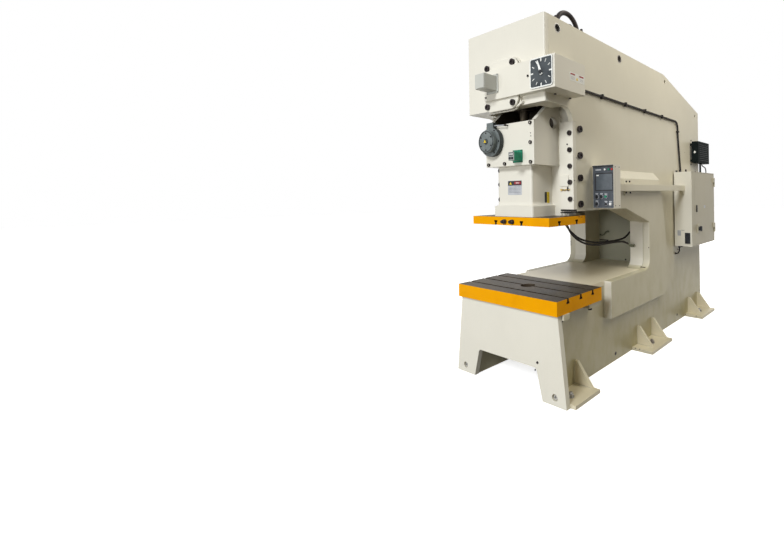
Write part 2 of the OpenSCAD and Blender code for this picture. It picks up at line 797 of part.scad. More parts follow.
module cabinet() {
    wall = 4;
    end_y = cab_y + cab_len;
    color(white_cream) at_press() {
        difference() {
            block([cab_x, cab_out_x], [cab_y, end_y], [cab_low_z, cab_top_z]);
            block([cab_x + wall, cab_out_x - wall], [cab_y + wall, end_y - wall], [cab_low_z + wall, cab_top_z - wall]);
            block([cab_out_x - wall - 1, cab_out_x + 1], [door_y0, door_y1], [cab_low_z + 10, cab_top_z - 10]);
        }
        for (y = [cab_y + 40, end_y - 70], z = [cab_low_z + 40, cab_top_z - 70])
            block([half_w, cab_x], [y, y + 30], [z, z + 30]);
        for (z = [cab_low_z + 120, cab_top_z - 180]) {
            difference() {
                block([cab_out_x, hinge_x], [hinge_y - 1, end_y], [z, z + knuckle_h]);
                translate([hinge_x, hinge_y, z - 1]) cylinder(h = knuckle_h + 2, r = knuckle_r - 1);
            }
            hinge_barrel(z);
        }
    }
}

module control_gear() {
    back = cab_x + 4;
    front = back + 5;
    y0 = cab_y + gear_edge;
    z0 = cab_low_z + gear_edge;
    color(grey) at_press() {
        block([back, front], [y0, y0 + 690], [z0, z0 + 780]);
        block([front, front + 75], [y0 + 40, y0 + 380], [z0 + 590, z0 + 720]);
        for (i = [0:5]) block([front, front + 80], [y0 + 40 + i * 62, y0 + 90 + i * 62], [z0 + 390, z0 + 490]);
        block([front, front + 130], [y0 + 460, y0 + 640], [z0 + 380, z0 + 720]);
        for (i = [0:9]) block([front, front + 50], [y0 + 40 + i * 32, y0 + 68 + i * 32], [z0 + 210, z0 + 280]);
        block([front, front + 90], [y0 + 460, y0 + 620], [z0 + 60, z0 + 230]);
        block([front, front + 45], [y0 + 40, y0 + 600], [z0 + 310, z0 + 350]);
    }
}

module cabinet_fittings() {
    socket_x = cab_x + socket_in;
    color(black) at_press() {
        difference() {
            block([socket_x - 32, socket_x + 32], [cab_y - 12, cab_y], [cab_low_z + 35, cab_low_z + 165]);
            for (z = [70, 130]) rod_y(21, cab_y - 13, cab_y - 5, socket_x, cab_low_z + z);
        }
        for (y = [40, 110, 700]) translate([cab_x + 40, cab_y + y, cab_low_z - 26]) cylinder(h = 26, r = 15);
        for (y = [30, cab_len - 60]) block([cab_x + 6, cab_x + 26], [cab_y + y, cab_y + y + 24], [cab_top_z, cab_top_z + 22]);
    }
}

module resistor_box() {
    x0 = half_w + resistor_gap;
    x1 = x0 + resistor_d;
    y1 = frame_len + resistor_out;
    y0 = y1 - resistor_len;
    z0 = cab_top_z + resistor_up;
    z1 = z0 + resistor_h;
    pipe_x = x1 - 24;
    pipe_y = y0 + 130;
    color(black) at_press() {
        block([x0, x1], [y0, y1], [z0, z1]);
        for (y = [y0 + 20, y0 + 250], z = [z0 + 20, z1 - 50]) block([half_w, x0], [y, y + 30], [z, z + 30]);
        translate([pipe_x, pipe_y, cab_top_z]) cylinder(h = z0 - cab_top_z, r = 13);
        translate([pipe_x, pipe_y, cab_top_z]) cylinder(h = 12, r = 24);
    }
}

// The pendant's arm is a square tube held by a clamp plate and by a bracket on the cabinet
module pendant_arm() {
    y0 = pendant_y + pendant_d;
    x1 = arm_x + arm_w;
    z1 = arm_z + arm_w;
    clamp_y = 1086;
    color(cream) at_press() {
        difference() {
            block([arm_x, x1], [y0, cab_y], [arm_z, z1]);
            block([arm_x + 5, x1 - 5], [y0 + 5, cab_y - 5], [arm_z + 5, z1 - 5]);
        }
        block([stiff_x, arm_x], [clamp_y - 56, clamp_y + 56], [arm_z - 40, z1 + 54]);
        along_x(arm_x + 12, arm_w - 24) polygon([[cab_y, arm_z], [cab_y - 55, arm_z], [cab_y, arm_z - 50]]);
    }
}

module pendant_case() {
    x1 = pendant_x + pendant_w;
    y1 = pendant_y + pendant_d;
    z1 = pendant_z + pendant_h;
    color(cream) at_press() difference() {
        block([pendant_x, x1], [pendant_y, y1], [pendant_z, z1]);
        block([pendant_x + case_wall, x1 - case_wall], [pendant_y + case_wall, y1 - case_wall],
            [pendant_z + case_wall, z1 - case_wall]);
        for (k = [[0, 1], [1, 1], [0, 0]]) rod_y(knob_stem_r + run_gap, pendant_y - 1, pendant_y + case_wall + 1,
            pendant_x + knob_x[k[0]], pendant_z + knob_z[k[1]]);
        for (k = [[2, 1], [2, 0], [3, 0]]) rod_y(button_r + run_gap, pendant_y - 1, pendant_y + case_wall + 1,
            pendant_x + knob_x[k[0]], pendant_z + knob_z[k[1]]);
    }
}

module selector(i, j) {
    x = pendant_x + knob_x[i];
    z = pendant_z + knob_z[j];
    color(black) at_press() {
        rod_y(knob_r, pendant_y - 10, pendant_y - guide_gap, x, z);
        block([x - 4, x + 4], [pendant_y - 22, pendant_y - 10], [z - knob_r + 1, z + knob_r - 1]);
        rod_y(knob_stem_r, pendant_y - guide_gap, pendant_y + 14, x, z);
    }
}

module button(i, j, tint) {
    x = pendant_x + knob_x[i];
    z = pendant_z + knob_z[j];
    color(tint) at_press() rod_y(button_r, pendant_y - 12, pendant_y + 16, x, z);
}

// Cable on the right side plate, with its clips
module side_cable() {
    drop_y = cable_bend_y + cable_bend_r;
    low_z = cable_z - cable_bend_r;
    route = concat(
        [for (y = [side_box_len, side_box_len + 60, 700, 1000, 1400, 1800, 2200]) [cable_x, y, cable_z]],
        [for (p = arc(cable_bend_y, low_z, cable_bend_r, 90, 0, 8)) [cable_x, p[0], p[1]]],
        [[cable_x, drop_y, low_z - 60], [cable_x, drop_y + 8, low_z - 130], [cable_x, cable_end_y - 10, cab_top_z + 90],
         [cable_x, cable_end_y, cab_top_z + 30], [cable_x, cable_end_y, cab_top_z]]);
    color(black) at_press() {
        sweep(route, cable_d);
        for (y = cable_clips) difference() {
            block([half_w, cable_x + cable_d / 2 + 4], [y - 9, y + 9], [cable_z - 20, cable_z + 20]);
            rod_y(cable_d / 2 + guide_gap, y - 10, y + 10, cable_x, cable_z);
        }
        difference() {
            block([half_w, cable_x + cable_d / 2 + 4], [drop_y - 20, drop_y + 20], [low_z - 52, low_z - 34]);
            translate([cable_x, drop_y, low_z - 60]) cylinder(h = 40, r = cable_d / 2 + guide_gap);
        }
    }
}

// Drive
module main_motor() {
    end_y = motor_y + motor_len;
    foot_z = shelf_z + shelf_t;
    color(grey) at_press() difference() {
        union() {
            rod_y(motor_r, motor_y, end_y, motor_x, motor_z);
            block([motor_x - 130, motor_x + 130], [motor_y + 70, end_y - 130], [foot_z, foot_z + motor_foot]);
            for (x = [-1, 1]) block([motor_x + x * 95 - 15, motor_x + x * 95 + 15], [motor_y + 80, end_y - 140],
                [foot_z + motor_foot - 1, motor_z - 60]);
            block([motor_x - motor_r - 60, motor_x - motor_r + 20], [motor_y + 120, motor_y + 240],
                [motor_z - 55, motor_z + 55]);
        }
        rod_y(motor_shaft_r + run_gap, motor_y - 1, motor_y + 80, motor_x, motor_z);
    }
}

module motor_pulley() {
    color(grey) at_press() {
        difference() {
            rod_y(pulley_r, flywheel_y + 10, flywheel_y + flywheel_w - 10, motor_x, motor_z);
            rod_y(pulley_r - 18, flywheel_y + 9, flywheel_y + 30, motor_x, motor_z);
        }
        rod_y(motor_shaft_r, flywheel_y + 20, motor_y + 70, motor_x, motor_z);
    }
}

module belt_loop(extra) {
    hull() {
        translate([motor_x, motor_z]) circle(pulley_r + extra);
        translate([0, pinion_z]) circle(flywheel_r + extra);
    }
}

module v_belts() {
    pitch = (flywheel_w - 30) / belt_count;
    color(black) at_press() for (i = [0:belt_count - 1])
        along_y(flywheel_y + 18 + i * pitch, pitch - 6) difference() {
            belt_loop(belt_gap + belt_t, $fn = 64);
            belt_loop(belt_gap, $fn = 64);
        }
}

module motor_shelf() {
    color(cream) at_press() block([-inner_w, inner_w], [motor_y - 20, motor_y + motor_len + 60], [shelf_z, shelf_z + shelf_t]);
}

module air_pipe() {
    mid_y = 485;
    leg = 30;
    pipe_x = half_w - 156;
    color(black) at_press() translate([pipe_x, mid_y, roof_z]) {
        block([-60, 60], [-80, 80], [0, 62]);
        translate([0, 0, 60]) cylinder(h = 26, r = 42);
        translate([0, 0, 10 + leg]) rotate([90, 0, 90]) rotate_extrude(angle = 180) translate([pipe_bend_r, 0]) circle(pipe_d / 2);
        for (y = [-1, 1]) translate([0, y * pipe_bend_r, 0]) {
            cylinder(h = 12, r = pipe_d);
            cylinder(h = 10 + leg, r = pipe_d / 2);
        }
    }
}

// Crankshaft, gears and connecting rod
module crankshaft() {
    front = pin_front_y - web_t;
    back = pin_back_y + web_t;
    tail = wall_rear_y + wall_t + 15;
    color(steel) at_press() {
        rod_y(journal_r - 35, sprocket_y - 2, -flange_t, 0, crank_z);
        rod_y(sprocket_r, sprocket_y, sprocket_y + sprocket_t, 0, crank_z);
        rod_y(journal_r, -flange_t, front, 0, crank_z);
        for (y = [front, pin_back_y]) {
            rod_y(115, y, y + web_t, 0, crank_z);
            rod_y(pin_r + 38, y, y + web_t, pin_x, pin_z);
        }
        rod_y(pin_r, pin_front_y, pin_back_y, pin_x, pin_z);
        rod_y(rear_journal_r, back, gear_y + gear_w, 0, crank_z);
        rod_y(journal_r, gear_y + gear_w, tail, 0, crank_z);
    }
}

// Straight sided teeth with play, so that the pair turns freely
module gear_outline(teeth, shift) {
    pitch_r = gear_module * teeth / 2;
    step = 360 / teeth;
    root = pitch_r - 1.2 * gear_module;
    tip = pitch_r + 0.85 * gear_module;
    half_root = step * 0.27;
    half_tip = step * 0.12;
    polygon([for (i = [0:teeth - 1])
        let (a = (i + shift) * step)
        each [root * [cos(a - half_root), sin(a - half_root)], tip * [cos(a - half_tip), sin(a - half_tip)],
              tip * [cos(a + half_tip), sin(a + half_tip)], root * [cos(a + half_root), sin(a + half_root)]]]);
}

module main_gear() {
    color(steel) at_press() difference() {
        translate([0, 0, crank_z]) along_y(gear_y, gear_w) rotate(-90) gear_outline(gear_teeth, 0);
        rod_y(rear_journal_r + run_gap, gear_y - 1, gear_y + gear_w + 1, 0, crank_z);
        for (a = [0:60:300]) rod_y(48, gear_y - 1, gear_y + gear_w + 1, 180 * cos(a), crank_z + 180 * sin(a));
    }
}

module pinion_shaft() {
    clutch_y = flywheel_y - 70;
    color(steel) at_press() {
        translate([0, 0, pinion_z]) along_y(gear_y - 4, gear_w + 8) rotate(90) gear_outline(pinion_teeth, 0.5);
        rod_y(shaft_r, wall_front_y - 12, flywheel_y + flywheel_w + 20, 0, pinion_z);
        rod_y(shaft_r + 60, clutch_y - 30, clutch_y, 0, pinion_z);
        rod_y(flywheel_r - 150, clutch_y, clutch_y + 30, 0, pinion_z);
    }
}

module flywheel() {
    rim = 70;
    color(steel) at_press() translate([0, flywheel_y, pinion_z]) rotate([-90, 0, 0]) rotate_extrude($fn = 96)
        polygon([[shaft_r + run_gap, 0], [shaft_r + 70, 0], [shaft_r + 70, 50], [flywheel_r - rim, 50],
            [flywheel_r - rim, 0], [flywheel_r, 0], [flywheel_r, flywheel_w], [flywheel_r - rim, flywheel_w],
            [flywheel_r - rim, flywheel_w - 50], [shaft_r + 70, flywheel_w - 50], [shaft_r + 70, flywheel_w],
            [shaft_r + run_gap, flywheel_w]]);
}

module connecting_rod() {
    y0 = slide_y - rod_w / 2;
    y1 = slide_y + rod_w / 2;
    ball_z = pin_z - rod_len;
    color(steel) at_press() difference() {
        union() {
            rod_y(pin_r + 40, y0, y1, pin_x, pin_z);
            block([pin_x - 75, pin_x + 75], [y0 + 10, y1 - 10], [pin_z - 240, pin_z - pin_r]);
            translate([pin_x, slide_y, ball_z]) cylinder(h = rod_len - 200, r = 42);
            translate([pin_x, slide_y, ball_z]) sphere(ball_r);
        }
        rod_y(pin_r + run_gap, y0 - 1, y1 + 1, pin_x, pin_z);
    }
}

module dial_pointer() {
    tip = dial_w / 2 - 20;
    face = cover_out + dial_t;
    color("white") at_press() {
        rod_y(dial_shaft_r, -face - 8, sprocket_y + sprocket_t + 6, dial_x, dial_z);
        rod_y(sprocket_r, sprocket_y, sprocket_y + sprocket_t, dial_x, dial_z);
        translate([dial_x, 0, dial_z]) rotate([0, -crank_angle, 0]) along_y(-face - 8, 4)
            polygon([[-13, -22], [13, -22], [5, tip], [-5, tip]]);
    }
}

module cabinet_door() {
    y0 = door_y0 + door_gap;
    y1 = door_y1 - door_gap;
    z0 = cab_low_z + 10 + door_gap;
    z1 = cab_top_z - 10 - door_gap;
    color(white_cream) at_press() {
        difference() {
            block([cab_out_x - door_rim, cab_out_x], [y0, y1], [z0, z1]);
            block([cab_out_x - door_rim - 1, cab_out_x - 3], [y0 + 3, y1 - 3], [z0 + 3, z1 - 3]);
        }
        difference() {
            block([cab_out_x, cab_out_x + handle_base_t], [handle_y - 33, handle_y + 33], [handle_z - 52, handle_z + 52]);
            rod_x(6 + run_gap, cab_out_x + 2, cab_out_x + handle_base_t + 1, handle_y, handle_z);
        }
        for (z = [cab_low_z + 120 + knuckle_h + guide_gap, cab_top_z - 180 + knuckle_h + guide_gap]) {
            block([cab_out_x, hinge_x], [y1 - 40, hinge_y - knuckle_r + 2], [z, z + knuckle_h]);
            block([hinge_x - 1, hinge_x + knuckle_r], [y1 - 40, hinge_y - knuckle_r + 2], [z, z + knuckle_h]);
            translate([hinge_x, hinge_y, z]) cylinder(h = knuckle_h, r = knuckle_r);
            translate([hinge_x, hinge_y, z - knuckle_h]) cylinder(h = knuckle_h + 1, r = hinge_pin_r);
        }
    }
}

module isolator_handle() {
    x0 = cab_out_x + handle_base_t;
    color(black) at_press() {
        rod_x(6, cab_out_x + 4, x0 + guide_gap, handle_y, handle_z);
        rod_x(25, x0 + guide_gap, x0 + 14, handle_y, handle_z);
        block([x0 + 14, x0 + 38], [handle_y - 9, handle_y + 9], [handle_z - 30, handle_z + 30]);
    }
}

// Slide
module neck_shape(w, y0) {
    r = neck_edge_r;
    half = w / 2;
    translate([-half, y0 + r]) square([w, slab_y - y0 - r]);
    translate([r - half, y0]) square([w - 2 * r, slab_y - y0]);
    for (x = [-1, 1]) translate([x * (half - r), y0 + r]) circle(r);
}

module slide_casting() {
    wing_x = wing_w / 2;
    slab_x = half_w - gib_w - 15;
    foot_top = plate_top_z + foot_h;
    wall_side = [[casting_y, housing_z], [slide_back_y, housing_z], [slide_back_y, wall_top_z], [slope_y, wall_top_z],
        [slope_y, slope_z], [casting_y, cover_top_z + 8]];
    color(white_cream) at_press() difference() {
        union() {
            both_sides() along_x(housing_x - housing_wall, housing_wall) polygon(wall_side);
            block([-housing_x, housing_x], [casting_y, slide_back_y], [housing_z, cavity_z]);
            translate([0, 0, plate_top_z]) linear_extrude(foot_h) neck_shape(foot_w, foot_front_y);
            translate([0, 0, foot_top]) linear_extrude(housing_z - foot_top) neck_shape(neck_w, neck_front_y);
            block([-slab_x, slab_x], [slab_y, slide_back_y - guide_gap], [plate_top_z, back_top_z]);
            both_sides() block([0, wing_x], [wing_y, slide_back_y - guide_gap], [plate_top_z, back_top_z]);
            both_sides() block([housing_x - 1, wing_x], [wing_y, slide_back_y - guide_gap], [back_top_z, wall_top_z]);
        }
        block([housing_wall - housing_x, housing_x - housing_wall], [casting_y - 1, slide_back_y - housing_wall],
            [cavity_z, wall_top_z + 1]);
        translate([0, slide_y, plate_top_z + 60]) cylinder(h = 500, r = 95);
        for (x = [-1, 1]) rod_x(wall_hole_r, x * housing_x - housing_wall - 1, x * housing_x + housing_wall + 1,
            slide_y + 22, cover_top_z + 4);
    }
}

module slide_cover() {
    edge = housing_x - 36;
    rows = [housing_z + 20, (housing_z + cover_top_z) / 2, cover_top_z - 20];
    color(white_cream) at_press() {
        block([-housing_x, housing_x], [housing_front_y, casting_y], [housing_z, cover_top_z]);
        for (z = rows) rod_y(14, housing_front_y - 8, housing_front_y, edge, z);
        for (x = [-50, -edge]) rod_y(14, housing_front_y - 8, housing_front_y, x, rows[0]);
    }
}

module slide_plate() {
    half = slide_plate_w / 2;
    back = slide_front_y + slide_plate_d;
    color(yellow) at_press() difference() {
        union() {
            block([-half, half], [slide_front_y, back], [slide_z, plate_top_z]);
            for (h = [hose_a_route, hose_b_route]) collar(back - 1, back + hose_stub, h[0]);
        }
        for (s = [-1, 1]) translate([0, slide_y + s * slide_slot_y, 2 * slide_z]) mirror([0, 0, 1])
            slot_x(half + 1, 0, slide_z);
        for (s = [-1, 1]) translate([s * slide_slot_x, slide_y, 2 * slide_z]) rotate([0, 0, 90]) mirror([0, 0, 1])
            slot_x(slide_plate_d / 2 + 1, 0, slide_z);
        translate([0, slide_y, slide_z - 1]) cylinder(h = shank_len + 2, r = shank_r);
    }
}

module gearmotor() {
    mid_x = -185;
    mid_z = 2052;
    color(grey) at_press() {
        rod_y(124, housing_front_y - 45, housing_front_y, mid_x, mid_z);
        rod_y(95, housing_front_y - 90, housing_front_y - 45, mid_x, mid_z);
        block([mid_x - 42, mid_x + 42], [housing_front_y - 45, housing_front_y - 8], [mid_z + 90, mid_z + 166]);
    }
}

module height_counter() {
    color(grey) at_press() {
        block([52, 160], [housing_front_y - 8, housing_front_y], [1862, 1966]);
        block([90, 157], [housing_front_y - 95, housing_front_y - 8], [1874, 1942]);
    }
}

// The two collars that the hoses start and end in
module collar(y0, y1, at) {
    rod_y(hose_d / 2 + 6, y0, y1, at[0], slide_z + at[2]);
}

module hose(route, tint) {
    back = slide_front_y + slide_plate_d;
    color(tint) at_press() sweep([for (p = route) [p[0], back + p[1], slide_z + p[2]]], hose_d);
}

at_press() side_plate();  // side_plate_right
at_press() mirror([1, 0, 0]) side_plate();  // side_plate_left
at_press() stiffener();  // stiffener_right
at_press() mirror([1, 0, 0]) stiffener();  // stiffener_left
crown_front_plate();
crown_bottom_plate();
roof_plate();
rear_plate();
rear_cover();
bearing_wall(wall_front_y, rear_journal_r);  // front_bearing_wall
bearing_wall(wall_rear_y, journal_r);  // rear_bearing_wall
jaw_plate();
throat_column();
throat_floor();
bed_plate();
front_leg_plate();
front_feet();
middle_feet();
rear_feet();
bolster();
frame_bolts();
at_press() gib();  // gib_right
at_press() mirror([1, 0, 0]) gib();  // gib_left
crank_flange();
front_cover();
dial_face();
terminal_box();
cabinet();
control_gear();
cabinet_fittings();
resistor_box();
pendant_arm();
pendant_case();
side_cable();
main_motor();
v_belts();
motor_shelf();
air_pipe();
crankshaft();
main_gear();
connecting_rod();
pinion_shaft();
flywheel();
motor_pulley();
dial_pointer();
cabinet_door();
isolator_handle();
slide_casting();
slide_cover();
slide_plate();
gearmotor();
height_counter();
selector(0, 1);  // selector_left
selector(1, 1);  // selector_middle
selector(0, 0);  // selector_lower
button(2, 1, "#1e8a5a");  // button_green
button(2, 0, black);  // button_black
button(3, 0, "white");  // button_white
hose(hose_a_route, black);  // hose_upper
hose(hose_b_route, black);  // hose_lower
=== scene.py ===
# %% [markdown]
# A deep-throat stamping press, dressed for a studio picture.
# The CAD model brings every plate, shaft and button at its real size. This lesson gives those
# parts rounded edges and painted, oiled or moulded surfaces, and adds the small pieces that a
# drawing leaves out: weld beads, dial ticks, screen, lamps, labels and pipes.

# %% Load the CAD frame
import json
import math

import bmesh
import bpy
import numpy as np
from mathutils import Matrix, Vector

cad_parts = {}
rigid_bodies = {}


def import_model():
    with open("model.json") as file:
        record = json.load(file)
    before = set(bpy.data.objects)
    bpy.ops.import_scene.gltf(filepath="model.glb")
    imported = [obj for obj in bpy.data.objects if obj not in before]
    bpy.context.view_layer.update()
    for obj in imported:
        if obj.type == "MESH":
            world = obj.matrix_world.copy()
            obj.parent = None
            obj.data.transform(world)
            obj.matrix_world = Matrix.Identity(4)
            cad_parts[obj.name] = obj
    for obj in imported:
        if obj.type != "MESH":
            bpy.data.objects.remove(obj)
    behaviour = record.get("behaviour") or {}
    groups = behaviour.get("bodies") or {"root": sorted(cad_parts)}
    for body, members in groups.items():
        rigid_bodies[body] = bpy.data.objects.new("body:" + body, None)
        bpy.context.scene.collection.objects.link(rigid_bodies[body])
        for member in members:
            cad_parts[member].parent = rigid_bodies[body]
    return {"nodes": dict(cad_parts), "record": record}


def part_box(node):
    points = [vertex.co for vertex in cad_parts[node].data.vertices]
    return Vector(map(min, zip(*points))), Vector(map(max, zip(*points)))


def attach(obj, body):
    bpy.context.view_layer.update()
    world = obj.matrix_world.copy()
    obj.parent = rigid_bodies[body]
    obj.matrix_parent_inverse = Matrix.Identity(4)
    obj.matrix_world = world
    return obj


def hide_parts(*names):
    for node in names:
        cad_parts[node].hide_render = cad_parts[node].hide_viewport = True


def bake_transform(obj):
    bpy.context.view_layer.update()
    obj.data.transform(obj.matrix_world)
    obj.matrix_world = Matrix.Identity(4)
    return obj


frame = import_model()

scene = bpy.context.scene
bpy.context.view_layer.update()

# %% [markdown]
# Every place in this lesson is written in millimetres as a fitter would measure it: x from the
# middle of the press, y from the front face of the crown, z from the floor. One function turns
# such a place into the metres of the shared frame.

# %% Places on the press
CROWN_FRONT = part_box("crown_front_plate")[0].y
MM = 0.001


def at(x, y, z):
    """Millimetres from the crown's front face to metres in the frame; arrays work too."""
    x, y, z = np.broadcast_arrays(np.asarray(x, float), np.asarray(y, float), np.asarray(z, float))
    return np.stack([x * MM, CROWN_FRONT + y * MM, z * MM], axis=-1)


HALF = round(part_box("side_plate_right")[1].x / MM, 3)
SLIDE_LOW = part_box("slide_plate")[0].z / MM
print("half width:", HALF, "mm, slide plate at", round(SLIDE_LOW, 1), "mm")

# %% [markdown]
# The camera stands where the photographer stood: at eye height, to the right of the press and
# looking level. The picture is cropped off centre, which the lens shift repeats.

# %% Camera
EYE = (2509.7, -2339.2, 1589.9)
YAW = 0.6381
ROLL = -0.014
FOCAL_LENGTH = 18.61
SHIFT = (-0.2398, -0.0961)
camera_data = bpy.data.cameras.new("camera")
camera_data.sensor_width = 36.0
camera_data.lens = FOCAL_LENGTH
camera_data.shift_x, camera_data.shift_y = SHIFT
camera_data.clip_end = 200.0
camera = bpy.data.objects.new("camera", camera_data)
scene.collection.objects.link(camera)
level_right = Vector((math.cos(YAW), math.sin(YAW), 0.0))
ahead = Vector((-math.sin(YAW), math.cos(YAW), 0.0))
up = Vector((0.0, 0.0, 1.0))
right = math.cos(ROLL) * level_right + math.sin(ROLL) * up
top = math.cos(ROLL) * up - math.sin(ROLL) * level_right
turn = Matrix((right, top, -ahead)).transposed()
camera.matrix_world = Matrix.Translation(Vector(at(*EYE))) @ turn.to_4x4()
scene.camera = camera
print("camera at", tuple(round(c, 3) for c in camera.matrix_world.translation))

# %% [markdown]
# A tube is a circle carried along a path. The path is first smoothed: between two of its points a
# Catmull-Rom cubic gives more, so that a few listed places are enough for a soft bend.
# Everything else that is added is a stack of rings: a flat outline, drawn again and again a little
# smaller and a little further out. A bolt, a lamp, a frame and a nameplate differ only in their
# outline and in their profile.

# %% Meshes from arrays
SIDES = {"front": ((1, 0, 0), (0, 0, 1), (0, -1, 0)), "right": ((0, 1, 0), (0, 0, 1), (1, 0, 0)),
         "left": ((0, -1, 0), (0, 0, 1), (-1, 0, 0)), "top": ((1, 0, 0), (0, 1, 0), (0, 0, 1)),
         "under": ((1, 0, 0), (0, -1, 0), (0, 0, -1)),
         "slope": ((1, 0, 0), (0, 0.84, 0.54), (0, -0.54, 0.84))}


def link_piece(name, mesh, body):
    """Put a mesh into the scene as a piece that rides on a CAD body."""
    piece = bpy.data.objects.new(name, mesh)
    scene.collection.objects.link(piece)
    if body:
        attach(piece, body)
    return piece


def smooth_mesh(mesh, angle=math.radians(32)):
    """Smooth shading, with a crease wherever two faces meet at more than the angle."""
    mesh.shade_smooth()
    mesh.set_sharp_from_angle(angle=angle)


def made(name, body, *parts):
    """One piece from closed surfaces. A part is its finish and its rings [ring, point, xyz] in
    millimetres: the first and last rings are capped, or joined if a third value is given."""
    points, faces, finish_of, finishes = [], [], [], []
    count = 0
    for finish, rings, *loop in parts:
        rows, columns = rings.shape[:2]
        index = np.arange(rows * columns).reshape(rows, columns) + count
        index = np.column_stack([index, index[:, :1]])
        if loop:
            index = np.vstack([index, index[:1]])
        quads = np.stack([index[:-1, :-1], index[:-1, 1:], index[1:, 1:], index[1:, :-1]], -1)
        new_faces = quads.reshape(-1, 4).tolist()
        if not loop:
            new_faces += [index[0, :-1][::-1].tolist(), index[-1, :-1].tolist()]
        if finish not in finishes:
            finishes.append(finish)
        finish_of += [finishes.index(finish)] * len(new_faces)
        faces += new_faces
        points.append(rings.reshape(-1, 3))
        count += rows * columns
    mesh = bpy.data.meshes.new(name)
    mesh.from_pydata(at(*np.vstack(points).T).tolist(), [], faces)
    for finish in finishes:
        if finish:
            mesh.materials.append(finish)
    mesh.polygons.foreach_set("material_index", finish_of)
    whole = bmesh.new()
    whole.from_mesh(mesh)
    bmesh.ops.recalc_face_normals(whole, faces=whole.faces)
    whole.to_mesh(mesh)
    whole.free()
    smooth_mesh(mesh)
    return link_piece(name, mesh, body)


def disc(radius, sides=32):
    """A circle, or with few sides a triangle or a diamond."""
    angle = np.linspace(0, 2 * np.pi, sides, endpoint=False) + np.pi / 2
    return lambda inset: (radius - inset) * np.stack([np.cos(angle), np.sin(angle)], -1)


def panel(width, height, corner=1.5, steps=4):
    """A rectangle with round corners: each corner is its centre plus r (cos a, sin a)."""
    angle = np.radians(np.arange(4)[:, None] * 90 + np.linspace(0, 90, steps))
    across = np.array([1, -1, -1, 1])[:, None]
    along = np.array([1, 1, -1, -1])[:, None]

    def outline(inset):
        r = max(corner - inset, 0.05)
        x = across * (width / 2 - inset - r) + r * np.cos(angle)
        y = along * (height / 2 - inset - r) + r * np.sin(angle)
        return np.stack([x, y], -1).reshape(-1, 2)

    return outline


def placed(flat, height, centre, side, turn=0.0):
    """Flat points turned by an angle and laid on a side of the press, at a height above it."""
    u, v, out = np.array(SIDES[side], float)
    a = flat[:, :1] * math.cos(turn) - flat[:, 1:] * math.sin(turn)
    b = flat[:, :1] * math.sin(turn) + flat[:, 1:] * math.cos(turn)
    return np.array(centre, float) + a * u + b * v + height * out


def raised(outline, profile, centre, side="front", turn=0.0):
    """Rings of an outline: each (inset, height) of the profile is one ring."""
    return np.stack([placed(outline(inset), height, centre, side, turn) for inset, height in profile])


def label(width, height, centre, side="front", thick=1.0, corner=1.5, turn=0.0):
    """A thin plate with a softened edge."""
    profile = [(0, -0.5), (0, thick * 0.6), (thick * 0.4, thick)]
    return raised(panel(width, height, corner), profile, centre, side, turn)


def stud(radius, height, centre, side="front", sides=28):
    """A round boss with a softened rim."""
    return raised(disc(radius, sides), [(0, -0.5), (0, height * 0.8), (radius * 0.1, height)], centre, side)


def collar(outer, inner, height, centre, side="front", depth=0.5):
    """The profile of a ring, to be joined into a loop."""
    wall = outer - inner
    return raised(disc(outer), [(0, -depth), (0, height), (wall, height), (wall, -depth)], centre, side)


def bolt(radius, height, centre, side="front", sides=24):
    """A socket head. The hexagon's radius is a / cos((angle mod 60) - 30 degrees)."""
    angle = np.linspace(0, 2 * np.pi, sides, endpoint=False)
    circle = np.stack([np.cos(angle), np.sin(angle)], -1) * radius
    hexagon = circle * 0.46 / np.cos(angle % (np.pi / 3) - np.pi / 6)[:, None]
    rows = [(circle, -0.03), (circle, 0.85), (circle * 0.92, 1.0), (hexagon, 1.0), (hexagon, 0.5)]
    return np.stack([placed(flat, height * share, centre, side) for flat, share in rows])


def soft_path(points, steps=6):
    """Catmull-Rom: between p1 and p2 the curve is the cubic that p0, p1, p2 and p3 give."""
    points = np.asarray(points, float)
    before = np.vstack([2 * points[0] - points[1], points[:-1]])[:, None]
    here = points[:, None]
    after = np.vstack([points[1:], 2 * points[-1] - points[-2]])[:, None]
    beyond = np.vstack([after[1:, 0], 2 * after[-1, 0] - after[-2, 0]])[:, None]
    t = np.linspace(0, 1, steps, endpoint=False)[None, :, None]
    curve = 0.5 * (2 * here + (after - before) * t + (2 * before - 5 * here + 4 * after - beyond) * t**2
                   + (3 * here - before - 3 * after + beyond) * t**3)
    return np.vstack([curve[:-1].reshape(-1, 3), points[-1:]])


def tube(path, radius, sides=20, start_side=(1.0, 0.2, 0.0)):
    """Rings of a circle carried along the path. radius is one value or one for each point."""
    path = np.asarray(path, float)
    along = np.gradient(path, axis=0)
    along /= np.linalg.norm(along, axis=1, keepdims=True)
    across = np.cross(along, np.asarray(start_side, float))
    across /= np.linalg.norm(across, axis=1, keepdims=True)
    third = np.cross(along, across)
    turn_angle = np.linspace(0, 2 * np.pi, sides, endpoint=False)[None, :, None]
    radius = np.broadcast_to(np.asarray(radius, float), len(path))[:, None, None]
    ring = across[:, None] * np.cos(turn_angle) + third[:, None] * np.sin(turn_angle)
    return path[:, None] + radius * ring
